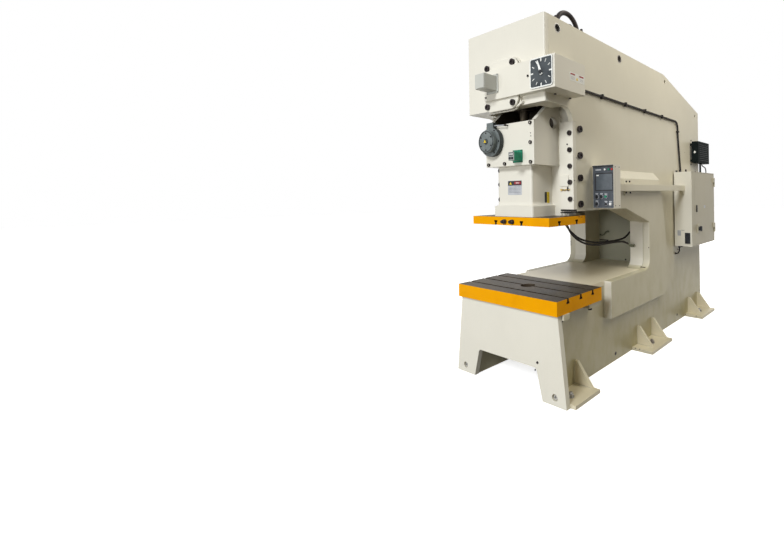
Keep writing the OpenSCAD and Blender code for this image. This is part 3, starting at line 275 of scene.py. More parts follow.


# %% [markdown]
# Two black hoses hang from the slide plate to the back of the throat. They come first, because
# their routes are shared with the CAD model: x in millimetres, y behind the plate's rear face,
# z above the plate's lower face.

# %% Hoses
HOSE_D = 20.0
PLATE_DEPTH = 478.0
PLATE_REAR = (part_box("slide_plate")[0].y - CROWN_FRONT) / MM + PLATE_DEPTH
HOSE_A = [(80, 12, 31), (80, 34, 31), (81, 80, 26), (83, 124, 10), (86, 163, -17), (90, 200, -56),
          (98, 258, -117), (112, 349, -177), (128, 455, -217), (146, 577, -242), (165, 705, -253),
          (190, 877, -253), (208, 1008, -247), (218, 1066, -234), (226, 1112, -210), (233, 1158, -180),
          (238, 1215, -152), (240, 1275, -134), (240, 1304, -131), (240, 1322, -131)]
HOSE_B = [(115, 12, 31), (115, 34, 31), (117, 72, 25), (120, 107, 8), (124, 138, -20), (129, 165, -58),
          (136, 205, -120), (152, 295, -192), (172, 393, -235), (195, 506, -257), (218, 624, -260),
          (250, 780, -257), (276, 893, -258), (294, 938, -268), (312, 967, -285), (328, 986, -300),
          (340, 999, -310), (346, 1012, -314), (346, 1030, -314)]


def hose(name, route, node):
    """A hose on its route."""
    x, y, z = np.array(route, float).T
    line = soft_path(np.stack([x, PLATE_REAR + y, SLIDE_LOW + z], -1))
    path = at(*line.T)
    piece = made(name, None, (None, tube(line, HOSE_D / 2)))
    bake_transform(piece)
    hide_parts(node)
    return piece


hoses = [hose("hose_a", HOSE_A, "hose_upper"), hose("hose_b", HOSE_B, "hose_lower")]

# %% [markdown]
# Materials are written as arithmetic. A Wire is one output in a material's node tree, and an
# expression such as 1 - mask * 0.5 adds the Math nodes for it. A Finish is the whole material,
# with a few helpers for the textures that a painted machine needs.

# %% Arithmetic on shader sockets


class Wire:
    """One output of a node; + - and * add Math nodes, also with plain numbers."""

    def __init__(self, finish, socket):
        self.finish = finish
        self.socket = socket

    def math(self, operation, *values):
        return self.finish.add("ShaderNodeMath", {"operation": operation}, dict(enumerate(values)))

    def __add__(self, other):
        return self.math("ADD", self, other)

    def __sub__(self, other):
        return self.math("SUBTRACT", self, other)

    def __rsub__(self, other):
        return self.math("SUBTRACT", other, self)

    def __mul__(self, other):
        return self.math("MULTIPLY", self, other)

    def above(self, low, high):
        """0 below low and 1 above high, with a soft step between."""
        return self.finish.add("ShaderNodeMapRange", {"interpolation_type": "SMOOTHSTEP"},
                               {"Value": self, "From Min": low, "From Max": high})


class Finish:
    """A material whose nodes are made by calls."""

    def __init__(self, name, colour=(0.8, 0.8, 0.8), rough=0.5, metal=0.0, coat=0.0):
        self.material = bpy.data.materials.new(name)
        self.material.use_nodes = True
        self.tree = self.material.node_tree
        self.shader = self.tree.nodes["Principled BSDF"]
        self.set("Base Color", (*colour, 1.0))
        self.set("Roughness", rough)
        self.set("Metallic", metal)
        self.set("Coat Weight", coat)
        self.set("Coat Roughness", 0.25)
        self.set("Specular IOR Level", 0.3)

    def set(self, socket, value):
        self.feed(self.shader.inputs[socket], value)

    def feed(self, socket, value):
        if isinstance(value, Wire):
            self.tree.links.new(value.socket, socket)
        else:
            socket.default_value = value

    def add(self, kind, settings=None, inputs=None, output=0):
        """A node of that kind: its settings first, then the values or links of its sockets."""
        node = self.tree.nodes.new(kind)
        for key, value in (settings or {}).items():
            setattr(node, key, value)
        for key, value in (inputs or {}).items():
            self.feed(node.inputs[key], value)
        return Wire(self, node.outputs[output])

    def place(self):
        """The point on the piece, in metres of the shared frame."""
        return self.add("ShaderNodeTexCoord", output=3)

    def facing(self):
        """The direction that the piece's surface faces."""
        return self.add("ShaderNodeTexCoord", output=1)

    def part(self, vector, axis):
        return self.add("ShaderNodeSeparateXYZ", inputs={0: vector}, output=axis)

    def noise(self, scale, detail=3.0, rough=0.55, stretch=(1.0, 1.0, 1.0)):
        vector = self.add("ShaderNodeMapping", inputs={"Vector": self.place(), "Scale": stretch})
        return self.add("ShaderNodeTexNoise",
                        inputs={"Vector": vector, "Scale": scale, "Detail": detail, "Roughness": rough})

    def mix(self, factor, first, second):
        """Colours mixed: first at factor 0, second at factor 1."""
        first = first if isinstance(first, Wire) else (*first, 1.0)
        second = second if isinstance(second, Wire) else (*second, 1.0)
        return self.add("ShaderNodeMix", {"data_type": "RGBA"}, {0: factor, 6: first, 7: second}, output=2)

    def bump(self, height, strength=0.2, depth=0.001):
        self.set("Normal", self.add("ShaderNodeBump",
                                    inputs={"Height": height, "Strength": strength, "Distance": depth}))


# %% [markdown]
# The frame is sprayed with a thick cream enamel. Close up it has the fine bumps of sprayed paint
# over ground plates, its tint drifts a little over a metre, and towards the floor it darkens to
# olive, part dust and part painted shade. The faces that look forward take three tenths of that
# darkening and the long sides all of it, as painted shade on the faces turned away from the front light.

# %% Enamel


def enamel(name, colour, dust_and_shade, share=0.5, reach=2.6, rough=0.38):
    """Sprayed enamel: slow drift of tint, darkening towards the floor and on the sides that is part dust
    and part painted shade, thin runs and fine bumps.
    """
    paint = Finish(name, colour, rough, coat=0.22)
    # painted shade: the long sides take the whole darkening and the faces that look forward three tenths of
    # it
    side_shade = paint.part(paint.facing(), 1).above(-0.95, -0.3) * 0.7 + 0.3
    low = side_shade * (1.0 - paint.part(paint.place(), 2).above(0.0, reach))
    drift = paint.noise(1.7, 4.0)
    cloud = paint.noise(9.0, 5.0, 0.6, (1.0, 1.0, 0.5))
    runs = paint.noise(16.0, 4.0, 0.6, (1.0, 1.0, 0.08)).above(0.56, 0.74)
    spots = paint.noise(120.0, 2.0).above(0.68, 0.73) * cloud.above(0.5, 0.62)
    tinted = paint.mix(drift.above(0.3, 0.7), tuple(c * 0.95 for c in colour), colour)
    # towards the floor the tint mixes into the second colour: part dust, part painted shade
    dusted_and_shaded = paint.mix(low * (cloud.above(0.35, 0.75) * 0.16 + 0.92) * share + runs * 0.03, tinted, dust_and_shade)
    paint.set("Base Color", paint.mix(spots * 0.25, dusted_and_shaded, tuple(c * 0.5 for c in dust_and_shade)))
    paint.set("Roughness", cloud * 0.22 + (rough - 0.08))
    paint.bump(paint.noise(260.0, 2.0) * 0.35 + paint.noise(14.0, 3.0), 0.16, 0.0022)
    return paint.material


# The second colour of each enamel is what it darkens to towards the floor: part dust, part painted shade.
cream_enamel = enamel("cream_enamel", (0.74, 0.70, 0.58), (0.33, 0.285, 0.115), 0.76, 2.3)
foot_enamel = enamel("foot_enamel", (0.74, 0.67, 0.50), (0.46, 0.41, 0.26), 0.35, 0.7)
pale_enamel = enamel("pale_enamel", (0.78, 0.745, 0.65), (0.56, 0.52, 0.37), 0.3, 1.6, 0.34)
cabinet_enamel = enamel("cabinet_enamel", (0.47, 0.435, 0.33), (0.36, 0.32, 0.2), 0.25)
box_enamel = enamel("box_enamel", (0.53, 0.53, 0.48), (0.45, 0.44, 0.36), 0.1)
# painted shade: a dark olive for the back of the throat's recess
recess_shade_enamel = enamel("recess_shade_enamel", (0.30, 0.29, 0.21), (0.20, 0.19, 0.12), 0.4, 1.6, 0.5)

# %% [markdown]
# The bolster's and the slide's edges are orange-yellow, and the paint is chipped where tools have
# knocked it. The working faces are bare, brown-grey from oil and old rust, and scratched.

# %% Yellow paint and worn steel


def chipped_yellow():
    """Orange-yellow enamel with faint stains, and bare grey chips where a noise passes 0.7."""
    paint = Finish("chipped_yellow", (0.85, 0.36, 0.003), 0.4)
    paint.set("Specular IOR Level", 0.05)
    grain = paint.noise(34.0, 6.0, 0.62)
    chips = paint.noise(17.0, 5.0, 0.7).above(0.70, 0.725)
    stain = paint.noise(5.0, 5.0, 0.6).above(0.45, 0.75)
    yellow = paint.mix(stain * 0.5, (0.88, 0.375, 0.0), (0.72, 0.28, 0.0))
    bare = paint.mix(grain.above(0.4, 0.6), (0.055, 0.042, 0.03), (0.16, 0.13, 0.10))
    paint.set("Base Color", paint.mix(chips, yellow, bare))
    paint.set("Metallic", chips * 0.55)
    paint.set("Roughness", chips * 0.25 + grain * 0.12 + 0.28)
    paint.bump(grain * 0.3 - chips, 0.25, 0.0012)
    return paint.material


def worn_steel(name, dark, light, streak=(1.0, 7.0, 1.0), rough=0.42):
    """Machined steel with oil and rust: long scratches, cloudy stains and pits."""
    steel = Finish(name, light, rough, metal=0.75)
    clouds = steel.noise(4.2, 6.0, 0.62)
    fine = steel.noise(46.0, 4.0, 0.6)
    scratch = steel.noise(60.0, 3.0, 0.5, streak).above(0.56, 0.66)
    pits = steel.noise(210.0, 2.0).above(0.64, 0.7)
    rust = steel.noise(2.6, 5.0, 0.65).above(0.48, 0.72)
    body = steel.mix(clouds.above(0.32, 0.68), dark, light)
    rusty = steel.mix(rust * 0.55, body, (0.155, 0.105, 0.072))
    marked = steel.mix(scratch * 0.35, rusty, tuple(min(1.0, c * 1.9) for c in light))
    steel.set("Base Color", steel.mix(pits * 0.7, marked, (0.03, 0.025, 0.02)))
    steel.set("Metallic", 0.75 - rust * 0.4)
    steel.set("Roughness", clouds * 0.24 + fine * 0.12 + (rough - 0.12))
    steel.bump(fine * 0.4 - pits * 0.8 - scratch * 0.3, 0.22, 0.0009)
    return steel.material


yellow_paint = chipped_yellow()
table_steel = worn_steel("table_steel", (0.04, 0.031, 0.021), (0.10, 0.08, 0.055))
ground_steel = worn_steel("ground_steel", (0.20, 0.19, 0.18), (0.42, 0.41, 0.39), (1.0, 1.0, 9.0), 0.32)

# %% [markdown]
# Small parts are black oxide steel, slate enamel, rubber and moulded plastic. They share one recipe:
# two near shades in fine clouds, a roughness that varies with them, and a grain for the bump.

# %% Small finishes


def plain_finish(name, shade, other, rough, metal=0.0, scale=90.0, bump=0.12, coat=0.0, shine=0.2):
    """Two near shades clouded together, with a fine grain."""
    finish = Finish(name, shade, rough, metal, coat)
    finish.set("Specular IOR Level", shine)
    cloud = finish.noise(scale * 0.2, 4.0, 0.6)
    grain = finish.noise(scale * 5.0, 2.0)
    finish.set("Base Color", finish.mix(cloud.above(0.35, 0.65), shade, other))
    finish.set("Roughness", cloud * 0.2 + (rough - 0.1))
    finish.bump(grain + cloud, bump, 0.0008)
    return finish.material


black_oxide = plain_finish("black_oxide", (0.018, 0.015, 0.015), (0.04, 0.031, 0.03), 0.42, 0.5)
slate_enamel = plain_finish("slate_enamel", (0.13, 0.148, 0.146), (0.19, 0.212, 0.21), 0.42, 0.1, coat=0.1)
dark_slate = plain_finish("dark_slate", (0.035, 0.041, 0.041), (0.055, 0.063, 0.063), 0.45)
# painted shade: a dark brown for faces deep inside the crown and the slide's housing
interior_shade_brown = plain_finish("interior_shade_brown", (0.075, 0.06, 0.042), (0.11, 0.09, 0.064), 0.6, scale=20.0)
black_box = plain_finish("black_box", (0.005, 0.008, 0.008), (0.01, 0.014, 0.014), 0.6, shine=0.04)
black_rubber = plain_finish("black_rubber", (0.012, 0.010, 0.009), (0.024, 0.019, 0.016), 0.6)
black_plastic = plain_finish("black_plastic", (0.018, 0.019, 0.022), (0.034, 0.036, 0.04), 0.45)
dial_slate = plain_finish("dial_slate", (0.035, 0.042, 0.048), (0.075, 0.085, 0.092), 0.4, scale=30.0)
panel_slate = plain_finish("panel_slate", (0.055, 0.062, 0.075), (0.075, 0.084, 0.098), 0.45)
screen_glass = plain_finish("screen_glass", (0.075, 0.088, 0.102), (0.09, 0.104, 0.12), 0.25, coat=0.3)
white_enamel = plain_finish("white_enamel", (0.82, 0.82, 0.78), (0.9, 0.9, 0.87), 0.4)
green_plastic = plain_finish("green_plastic", (0.008, 0.19, 0.105), (0.02, 0.27, 0.15), 0.35)
grey_plastic = plain_finish("grey_plastic", (0.30, 0.31, 0.30), (0.38, 0.39, 0.38), 0.45)
brass = plain_finish("brass", (0.42, 0.30, 0.10), (0.52, 0.38, 0.15), 0.32, 0.9)
red_plastic = plain_finish("red_plastic", (0.55, 0.02, 0.02), (0.65, 0.04, 0.03), 0.35)
sign_yellow = plain_finish("sign_yellow", (0.80, 0.55, 0.02), (0.86, 0.62, 0.04), 0.4)
sign_red = plain_finish("sign_red", (0.30, 0.02, 0.03), (0.36, 0.03, 0.04), 0.4)
label_grey = plain_finish("label_grey", (0.42, 0.43, 0.46), (0.50, 0.51, 0.53), 0.38, 0.2)
fitting_green = plain_finish("fitting_green", (0.10, 0.11, 0.075), (0.15, 0.16, 0.11), 0.45, 0.3)

for piece in hoses:
    piece.data.materials.append(black_rubber)

# %% [markdown]
# A CAD node arrives as loose triangles with razor edges, and real plates have none. Each visible
# node is copied, its corners are welded, its flat faces are made whole and its edges get a round
# of a few millimetres, which is what catches the light. The copy then stands for the node.

# %% Rounded copies of the CAD nodes
ROUND_ANGLE = math.radians(34)
FLAT_ANGLE = math.radians(0.4)
WELD_DISTANCE = 2e-5
bodies = frame["record"]["behaviour"]["bodies"]
body_of_node = {node: body for body, nodes in bodies.items() for node in nodes}


def applied(piece):
    """Turn a piece's modifiers into its mesh."""
    seen = piece.evaluated_get(bpy.context.evaluated_depsgraph_get())
    mesh = bpy.data.meshes.new_from_object(seen)
    piece.modifiers.clear()
    old = piece.data
    piece.data = mesh
    bpy.data.meshes.remove(old)
    return piece


def rounded(piece, width):
    """Round the edges of a piece that are sharper than ROUND_ANGLE."""
    bevel = piece.modifiers.new("round", "BEVEL")
    bevel.width = width * MM
    bevel.segments = 2
    bevel.limit_method = "ANGLE"
    bevel.angle_limit = ROUND_ANGLE
    bevel.use_clamp_overlap = True
    bevel.miter_outer = "MITER_ARC"
    piece.data.shade_smooth()
    flat = piece.modifiers.new("flat", "WEIGHTED_NORMAL")
    flat.weight = 100
    flat.keep_sharp = True
    bpy.context.view_layer.update()
    return applied(piece)


def dressed(node, *finishes, width):
    """A copy of a CAD node with edges rounded over width millimetres, all in the first finish."""
    mesh = frame["nodes"][node].data.copy()
    mesh.materials.clear()
    whole = bmesh.new()
    whole.from_mesh(mesh)
    bmesh.ops.remove_doubles(whole, verts=whole.verts, dist=WELD_DISTANCE)
    bmesh.ops.dissolve_limit(whole, angle_limit=FLAT_ANGLE, verts=whole.verts, edges=whole.edges)
    for face in whole.faces:
        face.material_index = 0
    whole.to_mesh(mesh)
    whole.free()
    piece = bpy.data.objects.new(node + "_dressed", mesh)
    scene.collection.objects.link(piece)
    for finish in finishes:
        piece.data.materials.append(finish)
    if width:
        rounded(piece, width)
    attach(piece, body_of_node[node])
    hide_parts(node)
    return piece


def finish_faces(piece, index, rule):
    """Give material index to the faces whose centre and normal pass the rule, as arrays."""
    count = len(piece.data.polygons)
    centre = np.empty(count * 3)
    normal = np.empty(count * 3)
    chosen = np.empty(count, np.int32)
    piece.data.polygons.foreach_get("center", centre)
    piece.data.polygons.foreach_get("normal", normal)
    piece.data.polygons.foreach_get("material_index", chosen)
    x, y, z = centre.reshape(-1, 3).T / MM
    y = y - CROWN_FRONT / MM
    chosen[rule(x, y, z, normal.reshape(-1, 3))] = index
    piece.data.polygons.foreach_set("material_index", chosen)


print("nodes with a body:", len(body_of_node))

# %% [markdown]
# The plates of the frame are cream, and a rule on a face's place and normal picks out the faces of
# another finish: the fronts of the stiffeners are paler, which is painted light on the faces that look
# forward, and the back of the throat's recess is almost olive, which is painted shade. The walls and
# shelf inside the crown are a dark brown of painted shade.

# %% Frame plates
for node, width in [("side_plate_right", 4), ("side_plate_left", 4), ("crown_bottom_plate", 3),
                    ("roof_plate", 3), ("rear_plate", 3), ("rear_cover", 1.5), ("jaw_plate", 3),
                    ("bed_plate", 3), ("pendant_arm", 3)]:
    dressed(node, cream_enamel, width=width)
for node in ["front_feet", "middle_feet", "rear_feet"]:
    dressed(node, foot_enamel, width=3)
dressed("throat_floor", foot_enamel, width=4)
for node in ["stiffener_right", "stiffener_left"]:
    stiffener = dressed(node, cream_enamel, pale_enamel, width=7)
    # painted light: the stiffeners' faces that look forward take the paler enamel
    finish_faces(stiffener, 1, lambda x, y, z, n: (y < 800) & (n[:, 1] < -0.7))
# painted shade: the walls and the shelf inside the crown are dark brown
for node in ["front_bearing_wall", "rear_bearing_wall", "motor_shelf"]:
    dressed(node, interior_shade_brown, width=2)
column = dressed("throat_column", cream_enamel, recess_shade_enamel, pale_enamel, width=5)
# painted light: the column's faces that look forward take the paler enamel
finish_faces(column, 2, lambda x, y, z, n: (y < 1560) & (n[:, 1] < -0.7))
# painted shade: the back of the throat's recess takes the dark olive enamel
finish_faces(column, 1, lambda x, y, z, n: (np.abs(x) < 299) & (y > 1700) & (np.abs(n[:, 0]) < 0.7))
print("faces of the throat's column:", len(column.data.polygons))

# %% [markdown]
# What faces the operator is painted a shade paler than the frame. The faces inside the slide's
# housing are a dark brown of painted shade, and the cabinet is darker than the press, apart from
# its narrow front, whose paler enamel is painted light.

# %% Front plates
for node, width in [("crown_front_plate", 3), ("front_leg_plate", 4), ("gib_right", 2), ("gib_left", 2),
                    ("crank_flange", 9), ("front_cover", 3), ("slide_cover", 2.5), ("pendant_case", 3)]:
    dressed(node, pale_enamel, width=width)
dressed("terminal_box", box_enamel, width=2.5)
casting = dressed("slide_casting", pale_enamel, interior_shade_brown, width=5)
# painted shade: the faces inside the slide's housing are dark brown
finish_faces(casting, 1, lambda x, y, z, n: (np.abs(x) < 248) & (y > 69) & (y < 441) & (z > 1875))
for node in ["cabinet", "cabinet_door"]:
    box = dressed(node, cabinet_enamel, pale_enamel, width=2)
    # painted light: the front faces of the cabinet and its door take the paler enamel
    finish_faces(box, 1, lambda x, y, z, n: (y < 2360) & (n[:, 1] < -0.7))

# %% [markdown]
# The bolster and the slide plate are yellow round their edges. Their upper and lower faces are bare
# steel, and so are the walls of their slots, which lie inside the outer faces.

# %% Bolster and slide plate
for node, half_width, front, back in [("bolster", 576, -40, 551), ("slide_plate", 448, 34, 504)]:
    plate = dressed(node, yellow_paint, table_steel, width=2.5)
    finish_faces(plate, 1, lambda x, y, z, n: (np.abs(n[:, 2]) > 0.7) | (
        (np.abs(x) < half_width) & (y > front) & (y < back)))

# %% [markdown]
# The remaining nodes are small parts in one finish each, and the works that the frame hides. A
# width of 0 keeps the edges of belts, cable and gear teeth as they are. Three parts have a second
# finish: the rim behind the height motor's face, the counter's face and the air pipe's valve block.

# %% Everything else from the CAD
MOTOR = (-185, -40, 2052)
COUNTER_FACE = -45
for node, finish, width in [
        ("frame_bolts", black_oxide, 1.5), ("dial_face", dial_slate, 1),
        ("control_gear", grey_plastic, 1.5), ("cabinet_fittings", black_plastic, 1.5),
        ("side_cable", black_rubber, 0),
        ("main_motor", slate_enamel, 3), ("v_belts", black_rubber, 0),
        ("crankshaft", table_steel, 3), ("main_gear", ground_steel, 0), ("connecting_rod", table_steel, 4),
        ("pinion_shaft", ground_steel, 0), ("flywheel", ground_steel, 4), ("motor_pulley", ground_steel, 2),
        ("dial_pointer", white_enamel, 0.8), ("isolator_handle", black_plastic, 2),
        ("selector_left", black_plastic, 1), ("selector_middle", black_plastic, 1),
        ("selector_lower", black_plastic, 1), ("button_green", green_plastic, 1),
        ("button_black", black_plastic, 1), ("button_white", white_enamel, 1)]:
    dressed(node, finish, width=width)
gearmotor = dressed("gearmotor", slate_enamel, dark_slate, width=4)
finish_faces(gearmotor, 1, lambda x, y, z, n: (y > 3) & (np.hypot(x - MOTOR[0], z - MOTOR[2]) > 98))
counter = dressed("height_counter", green_plastic, grey_plastic, width=2)
finish_faces(counter, 1, lambda x, y, z, n: y < COUNTER_FACE + 1)
air_pipe = dressed("air_pipe", black_oxide, label_grey, width=2)
finish_faces(air_pipe, 1, lambda x, y, z, n: (np.abs(x - 300) < 61) & (np.abs(y - 485) < 81) & (z < 3063))
dressed("resistor_box", black_box, width=2)

# %% [markdown]
# The crown carries the dial that shows the crank's angle. It has a white frame, and a tick every
# 30 degrees at a radius of 92 mm; the four main ticks are wider.

# %% Dial
DIAL = (474.5, -64.0, 2514.5)
TICK_RADIUS = 92
frame_ring = raised(panel(228, 228, 22, 8), [(0, -0.2), (0, 3), (9, 3), (9, -0.2)], DIAL)
ticks = []
for hour in range(12):
    angle = math.radians(30 * hour)
    place = (DIAL[0] + TICK_RADIUS * math.sin(angle), DIAL[1], DIAL[2] + TICK_RADIUS * math.cos(angle))
    width = 6 if hour % 3 else 11
    ticks.append((white_enamel, label(width, 24, place, thick=1.5, turn=-angle)))
made("dial_marks", "frame", (white_enamel, frame_ring, True), *ticks)
made("dial_hub", body_of_node["dial_pointer"], (black_plastic, stud(16, 5, (DIAL[0], -72, DIAL[2]))))
print("dial ticks:", len(ticks))

# %% [markdown]
# Round the crank's bearing flange run a pale rim and a dark band of painted shadow in its groove,
# and two thin oil pipes bend into it. The terminal box gets its lid, and the white label on the
# cover's side has two red heads, a yellow triangle and grey bars.

# %% Flange and cover
COVER_SIDE = 605.0
FLANGE = (0, 0, 2500)
SHEET = [(0, -0.3), (0, 0.5)]
rim = raised(panel(428, 438, 99, 10), [(2, -0.5), (0, 2), (0, 11), (3, 14), (18, 14), (18, -0.5)], FLANGE)
# painted shadow: a thin dark ring in the groove stands for the shade under the flange's edge
groove_shadow = raised(panel(411.5, 421.5, 91, 10), [(0, 17), (0, 23), (3, 23), (3, 17)], FLANGE)
pipe_line = [(160, -12, 2302), (182, -24, 2309), (204, -20, 2326), (214, -12, 2340)]
made("flange_trim", "frame", (pale_enamel, rim, True), (black_oxide, groove_shadow, True),
     (pale_enamel, tube(soft_path(pipe_line), 6)),
     (pale_enamel, tube(soft_path(np.array(pipe_line) + (22, 0, 4)), 6)))
made("cover_bolts", "frame", (black_oxide, bolt(9, 7, (335, -60, 2512))),
     (black_oxide, bolt(8, 7, (-152, -60, 2415))),
     (black_oxide, bolt(10, 7, (470, 103, 2385), "under")),
     (black_oxide, bolt(10, 7, (470, 294, 2385), "under")),
     *[(black_oxide, bolt(4, 3, (x, -66, z))) for x in (-129, -4) for z in (2444, 2586)])
made("cover_seam", "frame", (dark_slate, label(1.6, 236, (454.5, -60, 2508.5), thick=0.4, corner=0.2)),
     (box_enamel, raised(panel(106, 116, 4), [(0, 0), (0, 3), (2, 5)], (-67, -197, 2513))))
made("warning_label", "frame", (white_enamel, label(190, 66, (COVER_SIDE, 215, 2504), "right", 0.5)),
     *[(sign_red, label(58, 11, (COVER_SIDE + 0.5, y, 2524), "right", 0.5)) for y in (156, 268)],
     (sign_yellow, raised(disc(15, 3), SHEET, (COVER_SIDE + 0.5, 211, 2494), "right")),
     *[(label_grey, label(44, 2.5, (COVER_SIDE + 0.5, y, z), "right", 0.4, 0.3))
       for y in (156, 268) for z in (2486, 2494, 2502)])

# %% [markdown]
# The roof carries two dark lugs beside the air pipe, and steel bushes line the lifting holes.

# %% Roof and lifting holes
lug = [(0, -0.5), (0, 22), (3, 26)]
made("roof_lugs", "frame",
     *[(black_oxide, raised(panel(22, 16, 3), lug, (440, y, 3000), "top")) for y in (157, 504)])
bush = [(0, -44), (0, 1.2), (7, 1.2), (7, -44)]
bushes = [(ground_steel, raised(disc(37.6, 40), bush, (x, y, 2921), side), True)
          for y in (158, 1112) for x, side in ((HALF, "right"), (-HALF, "left"))]
made("lifting_bushes", "frame", *bushes)
print("lifting bushes:", len(bushes))

# %% [markdown]
# The slide's cover has socket bolts. Below it the neck widens into the foot along a concave sweep:
# at the angle f the outline is mixed by 1 - sin f and stands 34 (1 - cos f) above the foot. A yellow
# scale beside the neck shows the die height.

# %% Slide's cover and neck
COVER_FACE = 50
cover_bolts = [(251, 1860), (251, 2018.5), (251, 2177), (-50, 1860), (-251, 1860)]
cover_dots = [(251, 2093), (253, 2069), (-273, 1949)]
made("slide_bolts", "slide",
     *[(black_oxide, bolt(14.6, 14, (x, COVER_FACE, z))) for x, z in cover_bolts],
     *[(black_oxide, stud(4.5, 2, (x, COVER_FACE, z), sides=12)) for x, z in cover_dots])


def neck_outline(width, front, corner=18.0, back=368.0, steps=7):
    """The front half of a rectangle with round corners, from its back on the left to that on the right."""
    angle = np.linspace(0, np.pi / 2, steps)
    rise = corner * (1 - np.sin(angle))
    fall = corner * (1 - np.cos(angle))
    x = np.concatenate([[-width / 2], fall - width / 2, width / 2 - rise, [width / 2]])
    y = np.concatenate([[back], front + rise, front + fall, [back]])
    return np.stack([x, y], -1)


FOOT_TOP = 1499.5
SWEEP_HEIGHT = 34
neck, foot = neck_outline(400, 110), neck_outline(464, 82)
sweep = []
for angle in np.linspace(0, np.pi / 2, 9):
    mixed = neck + (1 - math.sin(angle)) * (foot - neck)
    level = FOOT_TOP + SWEEP_HEIGHT * (1 - math.cos(angle))
    sweep.append(np.column_stack([mixed, np.full(len(mixed), level)]))
made("foot_sweep", "slide", (pale_enamel, np.stack(sweep)))
made("neck_label", "slide", (label_grey, label(166, 122, (2, 110, 1656), thick=1.2, corner=4)),
     (black_plastic, label(164, 40, (2, 109, 1695.5), thick=0.7, corner=3)),
     (sign_red, label(78, 22, (36, 108.4, 1697), thick=0.6, corner=4)),
     (white_enamel, label(40, 5, (36, 107.9, 1697), thick=0.4)),
     (sign_yellow, raised(disc(15, 3), [(0, -0.3), (0, 0.6)], (-48, 108.4, 1693))),
     *[(panel_slate, label(140, 2, (2, 109, z), thick=0.3, corner=0.3)) for z in range(1664, 1615, -12)])
marks = []
for k in range(26):
    length = 16 if k % 5 else 24
    marks.append((black_plastic, label(length, 1.2, (202.5, 313, 1487 + 5 * k), "right", 0.4, 0.3)))
made("height_scale", "slide", (black_plastic, label(30, 136, (200, 282, 1549.5), "right", 1.2)),
     (sign_yellow, label(30, 136, (200, 313, 1549.5), "right", 2.5)), *marks)
print("slide's cover bolts:", len(cover_bolts), "marks on the scale:", len(marks))

# %% [markdown]
# The height motor has two rings of six small bolts, 60 degrees apart, and a rod that holds its
# terminal neck. The counter's grey face has a window with four white fields, and two knobs.

# %% Height motor and counter


def bolt_ring(radius, depth, start):
    """Six small bolts around the motor's axis at start + 60 k degrees."""
    ring = []
    for angle in np.radians(start + 60 * np.arange(6)):
        place = (MOTOR[0] + radius * math.cos(angle), depth, MOTOR[2] + radius * math.sin(angle))
        ring.append((black_oxide, bolt(6, 5, place)))
    return ring


motor_bolts = bolt_ring(72, -40, 30) + bolt_ring(110, 5, 0)
made("motor_trim", "slide", (dark_slate, collar(91, 84, 3, MOTOR), True),
     (dark_slate, stud(24, 6, MOTOR)),
     (sign_yellow, raised(disc(17, 3), [(0, -0.3), (0, 0.8)], (-192, -46, 2052))),
     *motor_bolts)
rod_line = [(-176, 22, 2192), (-120, 20, 2189), (-30, 18, 2183), (-15, 18, 2182)]
made("motor_rod", "slide", (label_grey, tube(rod_line, 5)),
     (black_oxide, tube([(-16, 18, 2182), (-2, 18, 2181)], 9)),
     (black_oxide, tube([(-9, 17, 2181.6), (-9, 50, 2181.6)], 5)))
made("counter_marks", "slide",
     (black_plastic, label(52, 24, (123.5, COUNTER_FACE, 1924), thick=1.5)),
     *[(black_plastic, stud(10, 9, (x, COUNTER_FACE, 1892))) for x in (109, 138)],
     *[(white_enamel, label(7, 14, (106 + 11.5 * k, COUNTER_FACE - 1.5, 1924), thick=0.5))
       for k in range(4)],
     *[(black_oxide, bolt(5, 3, (x, 42, z))) for x in (60, 152) for z in (1868, 1957)])
print("motor bolts:", len(motor_bolts))

# %% [markdown]
# Two quick couplings stand in the slide plate's front face. A coupling is a ribbed cone: its
# radius falls along its length and rises at each rib. The gibs have small bolts, rubber wipers at
# their lower ends and, on the right, a brass oil pipe under a pale block.

# %% Couplings and gib parts
coupling = [(0, -1), (0, 10), (2.5, 12), (2.5, 15), (0, 17), (1, 24), (6, 28), (6, 31), (4, 33),
            (7, 42), (9, 45)]
made("couplings", "slide",
     *[(black_oxide, raised(disc(19), coupling, (x, 30, 1372))) for x in (-40, 52)],
     *[(black_oxide, label(width, 5, (452, y, z), "right", 1.0))
       for width, y, z in ((26, 420, 1402), (18, 456, 1398))])
gib_pieces = []
for sign in (1, -1):
    gib_pieces += [(black_oxide, bolt(6.5, 5, (sign * 397, 340, z))) for z in (2015, 1745, 1650)]
    wiper = raised(panel(138, 46, 2), [(0, -14), (0, 0.2)], (sign * 386, 361, 1466), "top")
    lip = raised(panel(120, 70, 2), [(0, -30), (0, -22)], (sign * 392, 350, 1466), "top")
    gib_pieces += [(black_rubber, wiper), (black_rubber, lip)]
oil_line = [(322, 334, 1632), (350, 332, 1633), (372, 331, 1630), (398, 332, 1637), (421, 334, 1630)]
gib_pieces += [(pale_enamel, raised(panel(88, 97, 4), [(0, -0.5), (0, 6), (3, 9)], (364, 340, 1708))),
               (brass, tube(soft_path(oil_line), 5.5)),
               (brass, tube([(330, 333, 1624), (330, 333, 1641)], 8)),
               (black_oxide, tube([(404, 333, 1622), (404, 333, 1644)], 8))]
made("gib_parts", "frame", *gib_pieces)
side_dots = [(384, 1899), (357, 1709), (160, 559), (2744, 2120)]
made("side_dots", "frame",
     *[(black_oxide, stud(4, 1.5, (HALF, y, z), "right", 12)) for y, z in side_dots])
print("surfaces on the gibs:", len(gib_pieces))

# %% [markdown]
# The pendant's face is a dark slate panel with a screen and three lamps under a hood. Each of the
# six knobs of the CAD model gets a ring around it and a small plate above it.

